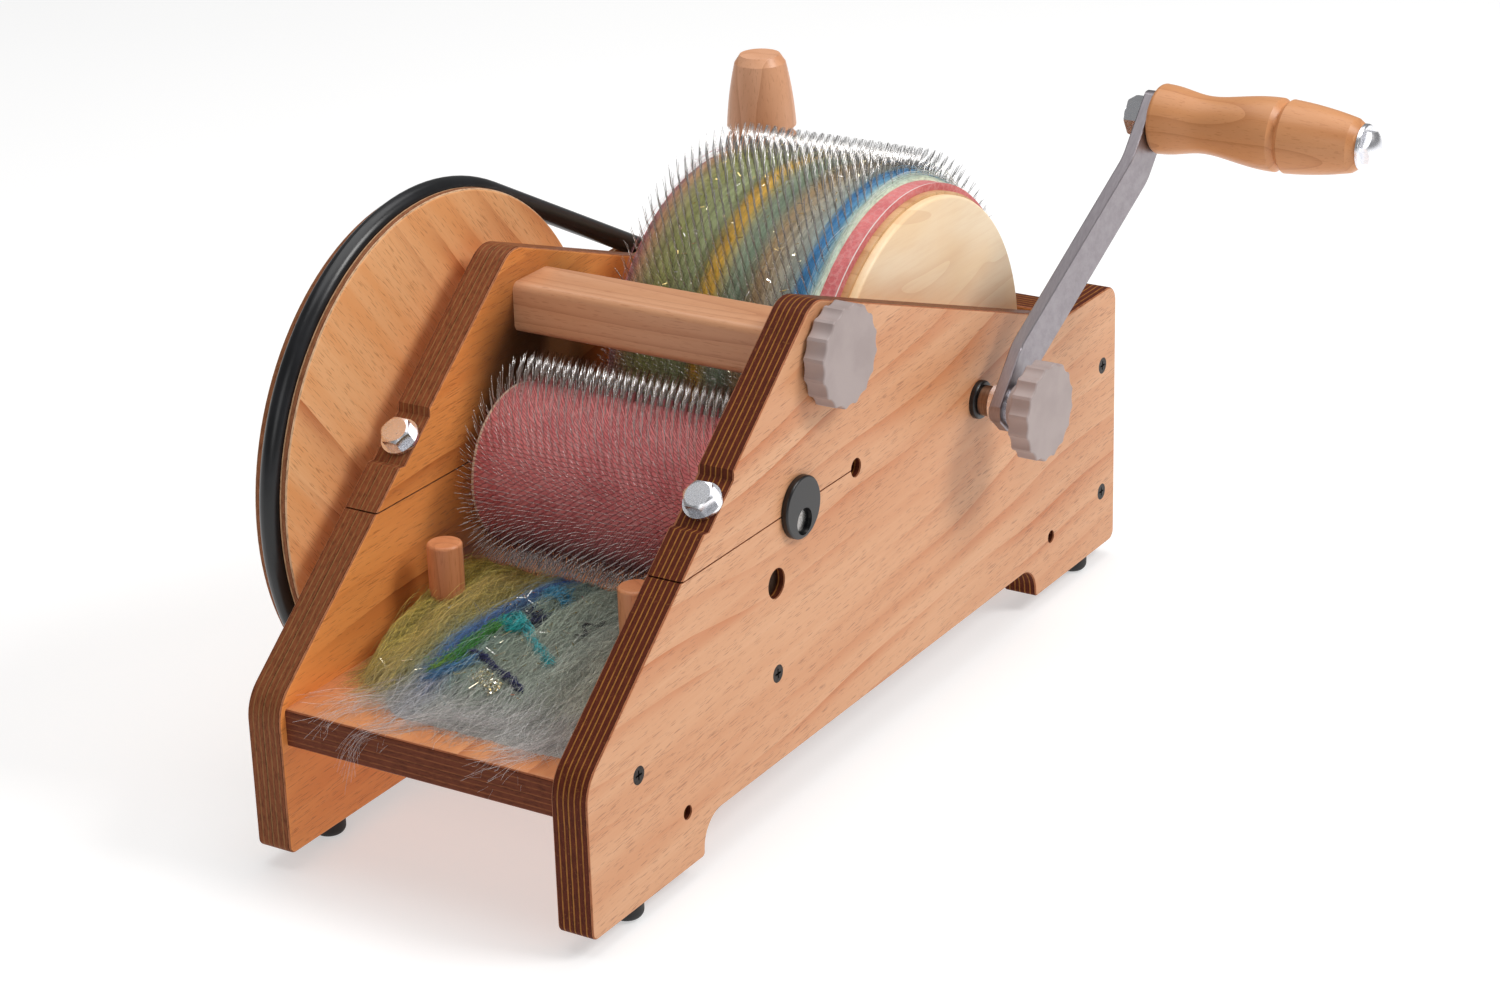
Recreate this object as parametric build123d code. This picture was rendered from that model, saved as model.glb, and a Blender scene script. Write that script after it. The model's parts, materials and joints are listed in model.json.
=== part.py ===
from build123d import *
import math
import os

# Drum carder, millimetres.  Built with x across the machine (crank side +x), y from the feeding end to
# the back and z up from the lower edge of the side panels; every piece is then moved so that the origin
# is at the bottom centre of the whole machine.

# ---- plywood frame ---------------------------------------------------------------------------------
PLY = 18.0                     # side panels, feed tray and rear board
HALF_IN = 70.3                 # half the clear width between the side panels
HALF_OUT = HALF_IN + PLY
HALF_MID = HALF_IN + PLY / 2
LENGTH = 481.7
FRONT_H = 71.2                 # top of the upright front edge
PEAK_Y, PEAK_Z = 187.6, 222.9  # upper front corner
SHOULDER_Y = 426.2             # where the sloping top edge meets the level rear edge
REAR_H = 138.8
FRONT_FOOT_END = 86.8          # the arch between the two feet of a panel
REAR_FOOT_START = 394.8
ARCH_H = 17.5
EDGE_ROUND = 1.2
KERF = 0.7                     # saw cut that lets the roller bearing be clamped
RELIEF_Y, RELIEF_R = 220.5, 4.5
CLAMP_HOLES = ((74.0, 26.8), (411.0, 26.8))
CLAMP_HOLE_R = 3.3

TRAY_Y0, TRAY_Y1, TRAY_TOP = 4.0, 166.0, 69.0
REAR_Y, REAR_Z0, REAR_Z1 = 467.0, 10.0, 127.0
TRAY_SCREWS = ((38.3, 60.5), (149.8, 60.5))
REAR_SCREWS = ((467.0, 99.3), (467.0, 30.6))
SCREW_R, SCREW_HEAD_R, SCREW_HEAD_H, SCREW_LEN = 2.0, 4.2, 3.2, 42.0

BAR_Y, BAR_Z, BAR_D, BAR_H = 201.0, 193.5, 30.0, 24.0
PEG_X, PEG_Y, PEG_R, PEG_TOP = 50.5, 97.5, 8.0, 115.5
TENON_R, TENON_LEN = 5.0, 12.0
FOOT_Y = (38.0, 452.0)
FOOT_R, FOOT_H = 7.5, 8.0

# ---- axles, rollers and drive ----------------------------------------------------------------------
DRUM_Y, AXIS_Z = 335.5, 126.2
LICKER_Y = 170.0
DRUM_R = 94.5                  # wooden drum under the cloth
CLOTH_T = 3.5
DRUM_TIP_R = 112.9
DRUM_X0, DRUM_X1 = -57.5, 57.0
DISC_T, DISC_R = 4.0, 93.0
DRUM_CLOTH_X = (-57.5, 53.4)
DRUM_FIBRE_X = (-57.0, 46.2)
LICKER_R, LICKER_TIP_R, LICKER_X = 34.0, 52.1, 60.5
LICKER_CLOTH_T = 3.0
SHAFT_R, LICKER_SHAFT_R = 6.0, 5.0
RUN = 0.05                     # radial clearance of a running fit
GAP = 0.3                      # side clearance between pieces that move past each other

BUSH_R, BUSH_CAP_R, BUSH_CAP_T = 13.0, 14.4, 3.0
ECCENTRIC = 6.5                # the roller's axle sits this far below the bush's centre
BUSH_Z = AXIS_Z + ECCENTRIC
DRUM_BUSH_R, DRUM_FLANGE_R, DRUM_FLANGE_T = 8.0, 9.3, 3.0

WHEEL_X, WHEEL_T, WHEEL_R = -108.5, 18.0, 120.0
BELT_R = 5.0
BELT_WHEEL_R, BELT_PULLEY_R = 119.5, 42.5      # centre line of the belt on each wheel
PULLEY_R = 44.0
WHEEL_SLACK = 1.7              # groove depth left under the belt for the gap adjustment

# ---- clamping bolt in each panel's front edge ------------------------------------------------------
SLOPE = math.atan2(PEAK_Z - FRONT_H, PEAK_Y)
BOLT_STATION = 137.5           # distance of the bolt up the sloping edge
LAND_DEPTH, LAND_LEN = 3.0, 26.0
NUT_DEPTH = 69.7
NUT_R = 7.0
BOLT_R, BOLT_HOLE_R, BOLT_LEN = 4.0, 4.5, 78.0

# ---- crank -----------------------------------------------------------------------------------------
ARM_ANGLE = 47.1               # of the arm above the horizontal, towards the back
ARM_W, ARM_T, ARM_X0, ARM_JOG = 22.8, 6.0, 100.8, 22.4
JOG_START, JOG_END = 26.5, 128.5
CRANK_R = 156.4
GRIP_LEN = 104.0
GRIP_BOLT_R = 5.0
KNOB_R, KNOB_T, KNOB_LOBES = 23.5, 10.5, 16
SCALLOP_R, SCALLOP_DEPTH = 8.0, 1.3
CRANK_KNOB_FACE, BAR_KNOB_FACE = 126.5, 100.0
BAR_KNOB_Y, BAR_KNOB_Z = 198.0, 195.0

# ---- doffing awl standing in the left panel --------------------------------------------------------
AWL_Y, AWL_TOP = 418.0, 253.0
AWL_BLADE_R, AWL_HOLE_R = 3.0, 3.4
AWL_IN_HANDLE, AWL_POINT, AWL_LEN = 26.0, 12.0, 120.0     # blade: part in the handle, point, whole
FERRULE_H = 3.4


def rod(x0, x1, r, y=0.0, z=0.0):
    """Solid round bar along x."""
    return Pos((x0 + x1) / 2, y, z) * Rot(0, 90, 0) * Cylinder(r, x1 - x0)


def ring(x0, x1, r_out, r_in, y=0.0, z=0.0):
    """Round bar along x with a round bore."""
    return rod(x0, x1, r_out, y, z) - rod(x0 - 1, x1 + 1, r_in, y, z)


def block(x0, x1, y0, y1, z0, z1):
    """Plain box between two corners."""
    return Pos((x0 + x1) / 2, (y0 + y1) / 2, (z0 + z1) / 2) * Box(x1 - x0, y1 - y0, z1 - z0)


def edge_rounded(shape, radius, axis=None):
    """Round every edge, or only the edges that run along one axis."""
    edges = shape.edges() if axis is None else shape.edges().filter_by(axis)
    return fillet(edges, radius)


def hexagon(x0, x1, across_flats, y, z, turn=0.0):
    """Hexagonal bar along x."""
    face = Plane.YZ * RegularPolygon(across_flats / 2, 6, major_radius=False, rotation=turn)
    return Pos(x0, y, z) * extrude(face, x1 - x0)


# ---- side panels -----------------------------------------------------------------------------------
def panel_blank():
    """Outline of a side panel in y, z, extruded to the plywood's thickness from x = 0."""
    corners = [(0, 0), (0, FRONT_H), (PEAK_Y, PEAK_Z), (SHOULDER_Y, REAR_H), (LENGTH, REAR_H),
               (LENGTH, 0), (REAR_FOOT_START, 0), (REAR_FOOT_START, ARCH_H),
               (FRONT_FOOT_END, ARCH_H), (FRONT_FOOT_END, 0)]
    radii = [4, 20, 15, 12, 9, 5, 2.4, 14, 14, 2.4]
    outline = FilletPolyline(*corners, radius=radii, close=True)
    blank = extrude(Plane.YZ * make_face(outline), PLY)
    faces = blank.faces().filter_by(Axis.X)
    return fillet(faces.edges(), EDGE_ROUND)


def on_slope(shape):
    """Place a shape made at the origin, -z into the wood, at the bolt's station on the sloping edge."""
    y = BOLT_STATION * math.cos(SLOPE)
    z = FRONT_H + BOLT_STATION * math.sin(SLOPE)
    return Pos(0, y, z) * Rot(math.degrees(SLOPE), 0, 0) * shape


def screw_cut(x_face, side, y, z):
    """Countersunk hole for one wood screw driven inwards through a panel."""
    return screw(x_face, side, y, z, recess=False)


def screw(x_face, side, y, z, recess=True):
    """Countersunk wood screw; its head is flush with x_face and it points towards x = 0."""
    head = Pos(0, 0, -SCREW_HEAD_H / 2) * Cone(SCREW_R, SCREW_HEAD_R, SCREW_HEAD_H)
    shank = Pos(0, 0, -SCREW_LEN / 2) * Cylinder(SCREW_R, SCREW_LEN)
    body = head + shank
    if recess:
        slot = Pos(0, 0, -0.9) * (Box(4.6, 0.9, 1.8) + Box(0.9, 4.6, 1.8))
        body -= slot
    return Pos(side * x_face, y, z) * Rot(0, side * 90, 0) * body


def side_panel(side):
    """One plywood side with its bearing bores, saw cut, bolt hole and screw holes."""
    x_in = HALF_IN if side > 0 else -HALF_OUT
    panel = Pos(x_in, 0, 0) * panel_blank()
    x0, x1 = x_in - 1, x_in + PLY + 1
    panel -= rod(x0, x1, BUSH_R + RUN, LICKER_Y, BUSH_Z)
    panel -= rod(x0, x1, DRUM_BUSH_R, DRUM_Y, AXIS_Z)
    panel -= rod(x0, x1, RELIEF_R, RELIEF_Y, BUSH_Z)
    panel -= block(x0, x1, 0, RELIEF_Y, BUSH_Z - KERF / 2, BUSH_Z + KERF / 2)
    for y, z in CLAMP_HOLES:
        panel -= rod(x0, x1, CLAMP_HOLE_R, y, z)
    for y, z in TRAY_SCREWS + REAR_SCREWS:
        panel -= screw_cut(HALF_OUT, side, y, z)
    mid = side * HALF_MID
    half = LAND_LEN / 2
    notch = Polyline((-half, -LAND_DEPTH), (half, -LAND_DEPTH), (half + 2 * LAND_DEPTH, LAND_DEPTH),
                     (-half - 2 * LAND_DEPTH, LAND_DEPTH), close=True)
    land = Pos(x0, 0, 0) * extrude(Plane.YZ * make_face(notch), PLY + 2)
    hole = Pos(mid, 0, -BOLT_LEN / 2 - LAND_DEPTH) * Cylinder(BOLT_HOLE_R, BOLT_LEN + 4)
    panel -= on_slope(land)
    panel -= on_slope(hole)
    panel -= barrel_place(rod(side * mid - 7, side * mid + 10, NUT_R), side)
    if side > 0:
        panel -= rod(x0, x1, BOLT_R + GAP, BAR_KNOB_Y, BAR_KNOB_Z)
    else:
        panel -= screw_cut(HALF_OUT, side, BAR_Y, BAR_Z)
        tip_z = AWL_TOP - GRIP_LEN + AWL_IN_HANDLE - AWL_LEN
        panel -= Pos(mid, AWL_Y, tip_z + AWL_LEN / 2) * Cylinder(AWL_HOLE_R, AWL_LEN)
    return panel


def barrel_place(shape, side):
    """Move a bar made on the x axis at positive x to the barrel nut's place in a panel."""
    y = BOLT_STATION * math.cos(SLOPE) + NUT_DEPTH * math.sin(SLOPE)
    z = FRONT_H + BOLT_STATION * math.sin(SLOPE) - NUT_DEPTH * math.cos(SLOPE)
    flip = Rot(0, 0, 0) if side > 0 else Rot(0, 0, 180)
    return Pos(0, y, z) * flip * shape


def barrel_nut(side):
    """Steel cross dowel that the clamping bolt screws into."""
    nut = rod(HALF_MID - 5.0, HALF_MID + 5.0, NUT_R - 0.1)
    nut = barrel_place(nut, side)
    bore = on_slope(Pos(side * HALF_MID, 0, -NUT_DEPTH) * Cylinder(BOLT_R + RUN, 4 * NUT_R))
    return nut - bore


def clamp_bolt(side):
    """Flanged hexagon bolt that closes the saw cut on the roller's bush."""
    flange = Pos(0, 0, 0.9) * Cylinder(9.0, 1.8)
    hexa = Pos(0, 0, 1.8) * extrude(RegularPolygon(6.5, 6, major_radius=False), 5.4)
    hexa = hexa & (Pos(0, 0, -5.5) * Sphere(14.0))
    shank = Pos(0, 0, -BOLT_LEN / 2) * Cylinder(BOLT_R, BOLT_LEN)
    head = flange + hexa + shank
    return on_slope(Pos(side * HALF_MID, 0, GAP - LAND_DEPTH) * head)


# ---- pieces between the panels ---------------------------------------------------------------------
def feed_tray():
    """Plywood table that the fibre is fed along, with two peg holes."""
    tray = block(-HALF_IN, HALF_IN, TRAY_Y0, TRAY_Y1, TRAY_TOP - PLY, TRAY_TOP)
    front = tray.edges().filter_by(Axis.X).group_by(Axis.Y)[0]
    tray = fillet(front, 2.0)
    for side in (-1, 1):
        tray -= Pos(side * PEG_X, PEG_Y, TRAY_TOP - TENON_LEN / 2) * Cylinder(TENON_R, TENON_LEN)
        for y, z in TRAY_SCREWS:
            tray -= screw_cut(HALF_OUT, side, y, z)
    return tray


def rear_board():
    """Upright plywood board that ties the panels at the back."""
    board = block(-HALF_IN, HALF_IN, REAR_Y - PLY / 2, REAR_Y + PLY / 2, REAR_Z0, REAR_Z1)
    board = fillet(board.edges().filter_by(Axis.X), 1.0)
    for side in (-1, 1):
        for y, z in REAR_SCREWS:
            board -= screw_cut(HALF_OUT, side, y, z)
    return board


def tie_bar():
    """Solid wood bar across the top, with rounded long edges."""
    bar = block(-HALF_IN, HALF_IN, BAR_Y - BAR_D / 2, BAR_Y + BAR_D / 2, BAR_Z - BAR_H / 2, BAR_Z + BAR_H / 2)
    bar = edge_rounded(bar, 4.0, Axis.X)
    bar -= screw_cut(HALF_OUT, -1, BAR_Y, BAR_Z)
    bar -= rod(HALF_IN - 22, HALF_IN + 1, 6.0, BAR_KNOB_Y, BAR_KNOB_Z)
    bar -= rod(HALF_IN - 32, HALF_IN - 21, BOLT_R + GAP, BAR_KNOB_Y, BAR_KNOB_Z)
    return bar


def guide_peg(side):
    """Upright peg beside the fibre, with a tenon glued into the tray."""
    body = Pos(0, 0, (TRAY_TOP + PEG_TOP) / 2) * Cylinder(PEG_R, PEG_TOP - TRAY_TOP)
    body = fillet(body.edges().group_by(Axis.Z)[-1], 1.5)
    body += Pos(0, 0, TRAY_TOP - TENON_LEN / 2) * Cylinder(TENON_R, TENON_LEN)
    return Pos(side * PEG_X, PEG_Y, 0) * body


def foot(side, y):
    """Rubber foot with a rounded sole."""
    body = Pos(0, 0, -FOOT_H / 2) * Cylinder(FOOT_R, FOOT_H)
    body = fillet(body.edges().group_by(Axis.Z)[0], 3.5)
    return Pos(side * HALF_MID, y, 0) * body


def drum_bush(side):
    """Flanged plastic bush for the drum's shaft, pressed into a panel."""
    sleeve = ring(HALF_IN, HALF_OUT, DRUM_BUSH_R, SHAFT_R + RUN)
    flange = ring(HALF_OUT, HALF_OUT + DRUM_FLANGE_T, DRUM_FLANGE_R, SHAFT_R + RUN)
    outer = flange.edges().filter_by(GeomType.CIRCLE).group_by(Axis.X)[-1].sort_by(SortBy.RADIUS)[-1]
    bush = sleeve + fillet(outer, 1.2)
    turn = Rot(0, 0, 0) if side > 0 else Rot(0, 0, 180)
    return Pos(0, DRUM_Y, AXIS_Z) * turn * bush


def gap_bush(side):
    """Eccentric bush: turning it moves the small roller towards or away from the drum."""
    body = rod(HALF_IN + GAP, HALF_OUT + GAP, BUSH_R)
    cap = rod(HALF_OUT + GAP, HALF_OUT + GAP + BUSH_CAP_T, BUSH_CAP_R)
    cap = fillet(cap.edges().group_by(Axis.X)[-1], 1.0)
    bush = body + cap
    bush -= rod(HALF_IN - 1, HALF_OUT + 6, LICKER_SHAFT_R + RUN, 0, -ECCENTRIC)
    bush -= rod(HALF_OUT + GAP + 0.6, HALF_OUT + 6, LICKER_SHAFT_R + 1.2, 0, -ECCENTRIC)
    turn = Rot(0, 0, 0) if side > 0 else Rot(0, 0, 180)
    return Pos(0, LICKER_Y, BUSH_Z) * turn * bush


# ---- drum ------------------------------------------------------------------------------------------
def drum_core():
    """Wooden drum."""
    return ring(DRUM_X0, DRUM_X1, DRUM_R, SHAFT_R, DRUM_Y, AXIS_Z)


def end_disc(x0, x1):
    """Turned pine disc that closes one end of the drum."""
    disc = rod(x0, x1, DISC_R, DRUM_Y, AXIS_Z)
    outer = disc.edges().group_by(Axis.X)[-1 if x0 > 0 else 0]
    return fillet(outer, 1.5) - rod(x0 - 1, x1 + 1, SHAFT_R, DRUM_Y, AXIS_Z)


def drum_shaft():
    """Steel shaft, stepped for the pulley on the left and the crank on the right."""
    left, right = -HALF_OUT - DRUM_FLANGE_T - GAP, ARM_X0
    shaft = rod(left, right, SHAFT_R) + rod(WHEEL_X - 19, left, GRIP_BOLT_R)
    end = rod(right, CRANK_KNOB_FACE - 5, GRIP_BOLT_R)
    flats = block(right, right + ARM_T, -GRIP_BOLT_R, GRIP_BOLT_R, -4, 4)
    flats += rod(right + ARM_T, CRANK_KNOB_FACE - 5, GRIP_BOLT_R)
    return crank_place(shaft + (end & flats))


def pins(y, z, xs, rows, r0, r1):
    """Short straight pins standing out of a roller, in rows that are staggered by half a step."""
    step = xs[1] - xs[0]
    made = []
    for row in range(rows):
        angle = 360.0 * row / rows
        for x in xs:
            shift = step / 2 * (row % 2)
            pin = Pos(x + shift, 0, (r0 + r1) / 2) * Box(0.8, 0.8, r1 - r0)
            made.append(Pos(0, y, z) * Rot(angle, 0, 0) * pin)
    return Compound(children=made)


def spaced(x0, x1, count):
    """Evenly spaced places from x0 to x1."""
    return [x0 + (x1 - x0) * i / (count - 1) for i in range(count)]


# ---- belt drive ------------------------------------------------------------------------------------
def grooved_wheel(r_out, floor_r, bore_r, y):
    """Disc with a round-bottomed belt groove in its rim."""
    wheel = ring(WHEEL_X - WHEEL_T / 2, WHEEL_X + WHEEL_T / 2, r_out, bore_r)
    rims = wheel.edges().filter_by(GeomType.CIRCLE).sort_by(SortBy.RADIUS)[-2:]
    wheel = fillet(rims, 1.5)
    half = BELT_R + GAP
    groove = ring(WHEEL_X - half, WHEEL_X + half, r_out + 5, floor_r)
    return Pos(0, y, AXIS_Z) * (wheel - groove)


def drive_belt():
    """Round belt, one closed loop: two arcs and the two straight runs that touch them."""
    tilt = math.asin((BELT_WHEEL_R - BELT_PULLEY_R) / (DRUM_Y - LICKER_Y))
    up_y, up_z = math.sin(tilt), math.cos(tilt)

    def touch(y, r, sign):
        return (y + r * up_y, AXIS_Z + sign * r * up_z)

    wheel_top, wheel_low = touch(LICKER_Y, BELT_WHEEL_R, 1), touch(LICKER_Y, BELT_WHEEL_R, -1)
    pulley_top, pulley_low = touch(DRUM_Y, BELT_PULLEY_R, 1), touch(DRUM_Y, BELT_PULLEY_R, -1)
    front = (LICKER_Y - BELT_WHEEL_R, AXIS_Z)
    back = (DRUM_Y + BELT_PULLEY_R, AXIS_Z)
    loop = Curve() + [Line(wheel_top, pulley_top), ThreePointArc(pulley_top, back, pulley_low),
                      Line(pulley_low, wheel_low), ThreePointArc(wheel_low, front, wheel_top)]
    path = Pos(WHEEL_X, 0, 0) * (Plane.YZ * loop)
    start = Plane(origin=path @ 0, z_dir=path % 0)
    return sweep(start * Circle(BELT_R), path=path.wire())


# ---- crank -----------------------------------------------------------------------------------------
def crank_arm():
    """Flat steel arm, cranked outwards between its two ends."""
    tilt = math.atan2(ARM_JOG, JOG_END - JOG_START)
    skew = ARM_T / 2 * math.tan(tilt / 2)
    end = ARM_W / 2
    mid = ARM_X0 + ARM_T / 2
    path = [(mid, -end), (mid, JOG_START), (mid + ARM_JOG, JOG_END), (mid + ARM_JOG, CRANK_R + end)]
    outer = [(path[0][0] + ARM_T / 2, path[0][1]), (path[1][0] + ARM_T / 2, path[1][1] - skew),
             (path[2][0] + ARM_T / 2, path[2][1] - skew), (path[3][0] + ARM_T / 2, path[3][1])]
    inner = [(path[3][0] - ARM_T / 2, path[3][1]), (path[2][0] - ARM_T / 2, path[2][1] + skew),
             (path[1][0] - ARM_T / 2, path[1][1] + skew), (path[0][0] - ARM_T / 2, path[0][1])]
    radii = [1.2, 30, 36, 1.2, 1.2, 36, 30, 1.2]
    side_view = make_face(FilletPolyline(*(outer + inner), radius=radii, close=True))
    bar = extrude(side_view, ARM_W / 2, both=True)
    bar = fillet(bar.faces().filter_by(Axis.Z).edges(), 0.7)
    ends = Pos(0, CRANK_R / 2, 0) * Rot(0, 90, 0) * extrude(
        RectangleRounded(ARM_W + 1, CRANK_R + 2 * end, 8.0), 300, both=True)
    bar = bar & ends
    keyed = rod(0, 200, GRIP_BOLT_R) & block(0, 200, -GRIP_BOLT_R, GRIP_BOLT_R, -4, 4)
    bar -= keyed
    bar -= rod(0, 200, GRIP_BOLT_R, CRANK_R, 0)
    return crank_place(bar)


def crank_place(shape):
    """Swing a shape built along +y from the x axis to the crank's resting angle."""
    return Pos(0, DRUM_Y, AXIS_Z) * Rot(ARM_ANGLE, 0, 0) * shape


def grip_profile(bore_r, blind=False):
    """Turned handle along +x from x = 0: flared foot, waist, swell with a V groove, tapered nose."""
    groove, half, floor = 65.0, 2.7, 15.1
    foot_curve = Spline((3.0, 16.8), (9.0, 16.3), (23.0, 13.9), (41.5, 15.6), (groove - half, 17.5))
    nose_curve = Spline((groove + half, 17.5), (84.0, 15.9), (GRIP_LEN - 4.0, 12.9))
    inner = 0.0 if blind else bore_r
    outline = [Line((0, inner), (0, 15.2)), ThreePointArc((0, 15.2), (0.9, 16.4), (3.0, 16.8)), foot_curve,
               Line((groove - half, 17.5), (groove, floor)), Line((groove, floor), (groove + half, 17.5)),
               nose_curve, Line((GRIP_LEN - 4.0, 12.9), (GRIP_LEN, 10.2)),
               Line((GRIP_LEN, 10.2), (GRIP_LEN, inner)), Line((GRIP_LEN, inner), (0, inner))]
    return revolve(make_face(Curve() + outline), Axis.X)


def crank_grip():
    """Wooden handle that spins on the crank's bolt."""
    start = ARM_X0 + ARM_JOG + ARM_T + GAP
    return crank_place(Pos(start, CRANK_R, 0) * grip_profile(GRIP_BOLT_R + RUN))


def grip_bolt():
    """Flanged bolt with a domed hexagon head, the axle of the handle."""
    x_head = ARM_X0 + ARM_JOG + ARM_T + GRIP_LEN + 2 * GAP
    shank = rod(ARM_X0 + ARM_JOG - 10, x_head, GRIP_BOLT_R)
    flange = rod(x_head, x_head + 2.0, 10.9)
    flange = fillet(flange.edges().group_by(Axis.X)[-1], 0.9)
    head = hexagon(x_head + 2.0, x_head + 8.4, 15.0, 0, 0) & (Pos(x_head - 3.6, 0, 0) * Sphere(12.0))
    return crank_place(Pos(0, CRANK_R, 0) * (shank + flange + head))


def grip_nut():
    """Hexagon nut behind the crank arm."""
    x1 = ARM_X0 + ARM_JOG
    nut = hexagon(x1 - 8.0, x1, 17.0, 0, 0, turn=12.0)
    nut = nut & (Pos(x1 - 4.0, 0, 0) * Sphere(10.3))
    nut -= rod(x1 - 9, x1 + 1, GRIP_BOLT_R)
    return crank_place(Pos(0, CRANK_R, 0) * nut)


# ---- knobs -----------------------------------------------------------------------------------------
def knob_body(x_face, boss):
    """Moulded knob along x, scalloped rim, with a round boss behind it."""
    body = rod(x_face - KNOB_T, x_face, KNOB_R)
    for i in range(KNOB_LOBES):
        turn = Rot(360.0 * i / KNOB_LOBES, 0, 0)
        body -= turn * rod(x_face - KNOB_T - 1, x_face + 1, SCALLOP_R, KNOB_R + SCALLOP_R - SCALLOP_DEPTH)
    body = fillet(body.faces().filter_by(Axis.X).edges(), 0.8)
    if boss > 0:
        body += rod(x_face - KNOB_T - boss, x_face - KNOB_T, 11.0)
    return body


def crank_knob():
    """Knob that holds the crank arm on the shaft."""
    x0 = ARM_X0 + ARM_T + 1.6 + GAP
    knob = knob_body(CRANK_KNOB_FACE, CRANK_KNOB_FACE - KNOB_T - x0)
    knob -= rod(x0 - 1, CRANK_KNOB_FACE - 3, 7.5)
    return Pos(0, DRUM_Y, AXIS_Z) * knob


def crank_knob_insert():
    """Threaded brass insert moulded into the crank knob."""
    x0 = ARM_X0 + ARM_T + 1.6 + GAP
    return ring(x0, CRANK_KNOB_FACE - 3, 7.5, GRIP_BOLT_R + RUN, DRUM_Y, AXIS_Z)


def bar_knob():
    """Knob that clamps the tie bar."""
    knob = knob_body(BAR_KNOB_FACE, 0) - rod(0, BAR_KNOB_FACE - 3, BOLT_R)
    return Pos(0, BAR_KNOB_Y, BAR_KNOB_Z) * knob


# ---- awl -------------------------------------------------------------------------------------------
def awl_place(shape):
    """Stand a piece made about the z axis, the handle's lower end at 0, in the left panel."""
    return Pos(-HALF_MID, AWL_Y, AWL_TOP - GRIP_LEN) * shape


def awl_handle():
    """Turned handle of the doffing awl, nose up."""
    solid = grip_profile(0, blind=True)
    solid -= rod(-1, AWL_IN_HANDLE, AWL_BLADE_R)
    return awl_place(Rot(0, -90, 0) * solid)


def awl_ferrule():
    """Metal collar under the awl's handle."""
    body = Pos(0, 0, -FERRULE_H / 2) * Cone(8.0, 10.0, FERRULE_H) - Cylinder(AWL_BLADE_R, 30)
    return awl_place(body)


def awl_blade():
    """Steel awl that stands in the hole in the panel's upper edge."""
    length = AWL_LEN - AWL_POINT
    shaft = Pos(0, 0, AWL_IN_HANDLE - length / 2) * Cylinder(AWL_BLADE_R, length)
    tip = Pos(0, 0, AWL_IN_HANDLE - length - AWL_POINT / 2) * Cone(0.6, AWL_BLADE_R, AWL_POINT)
    return awl_place(shaft + tip)


# ---- fibre -----------------------------------------------------------------------------------------
def feed_fibre():
    """Loose fibre lying on the tray in front of the small roller."""
    low = TRAY_TOP + GAP
    outline = Polyline((16, low), (16, low + 1.5), (50, 77), (75, 84), (95, 90), (110, 92), (125, 91),
                       (140, 80), (150, 73), (150, low), close=True)
    heap = Pos(-61, 0, 0) * extrude(Plane.YZ * make_face(outline), 122)
    for side in (-1, 1):
        heap -= Pos(side * PEG_X, PEG_Y, TRAY_TOP) * Cylinder(PEG_R + 0.6, 120)
    return heap


def group(shapes):
    """Several separate solids kept in one node."""
    return Compound(children=list(shapes))


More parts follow.
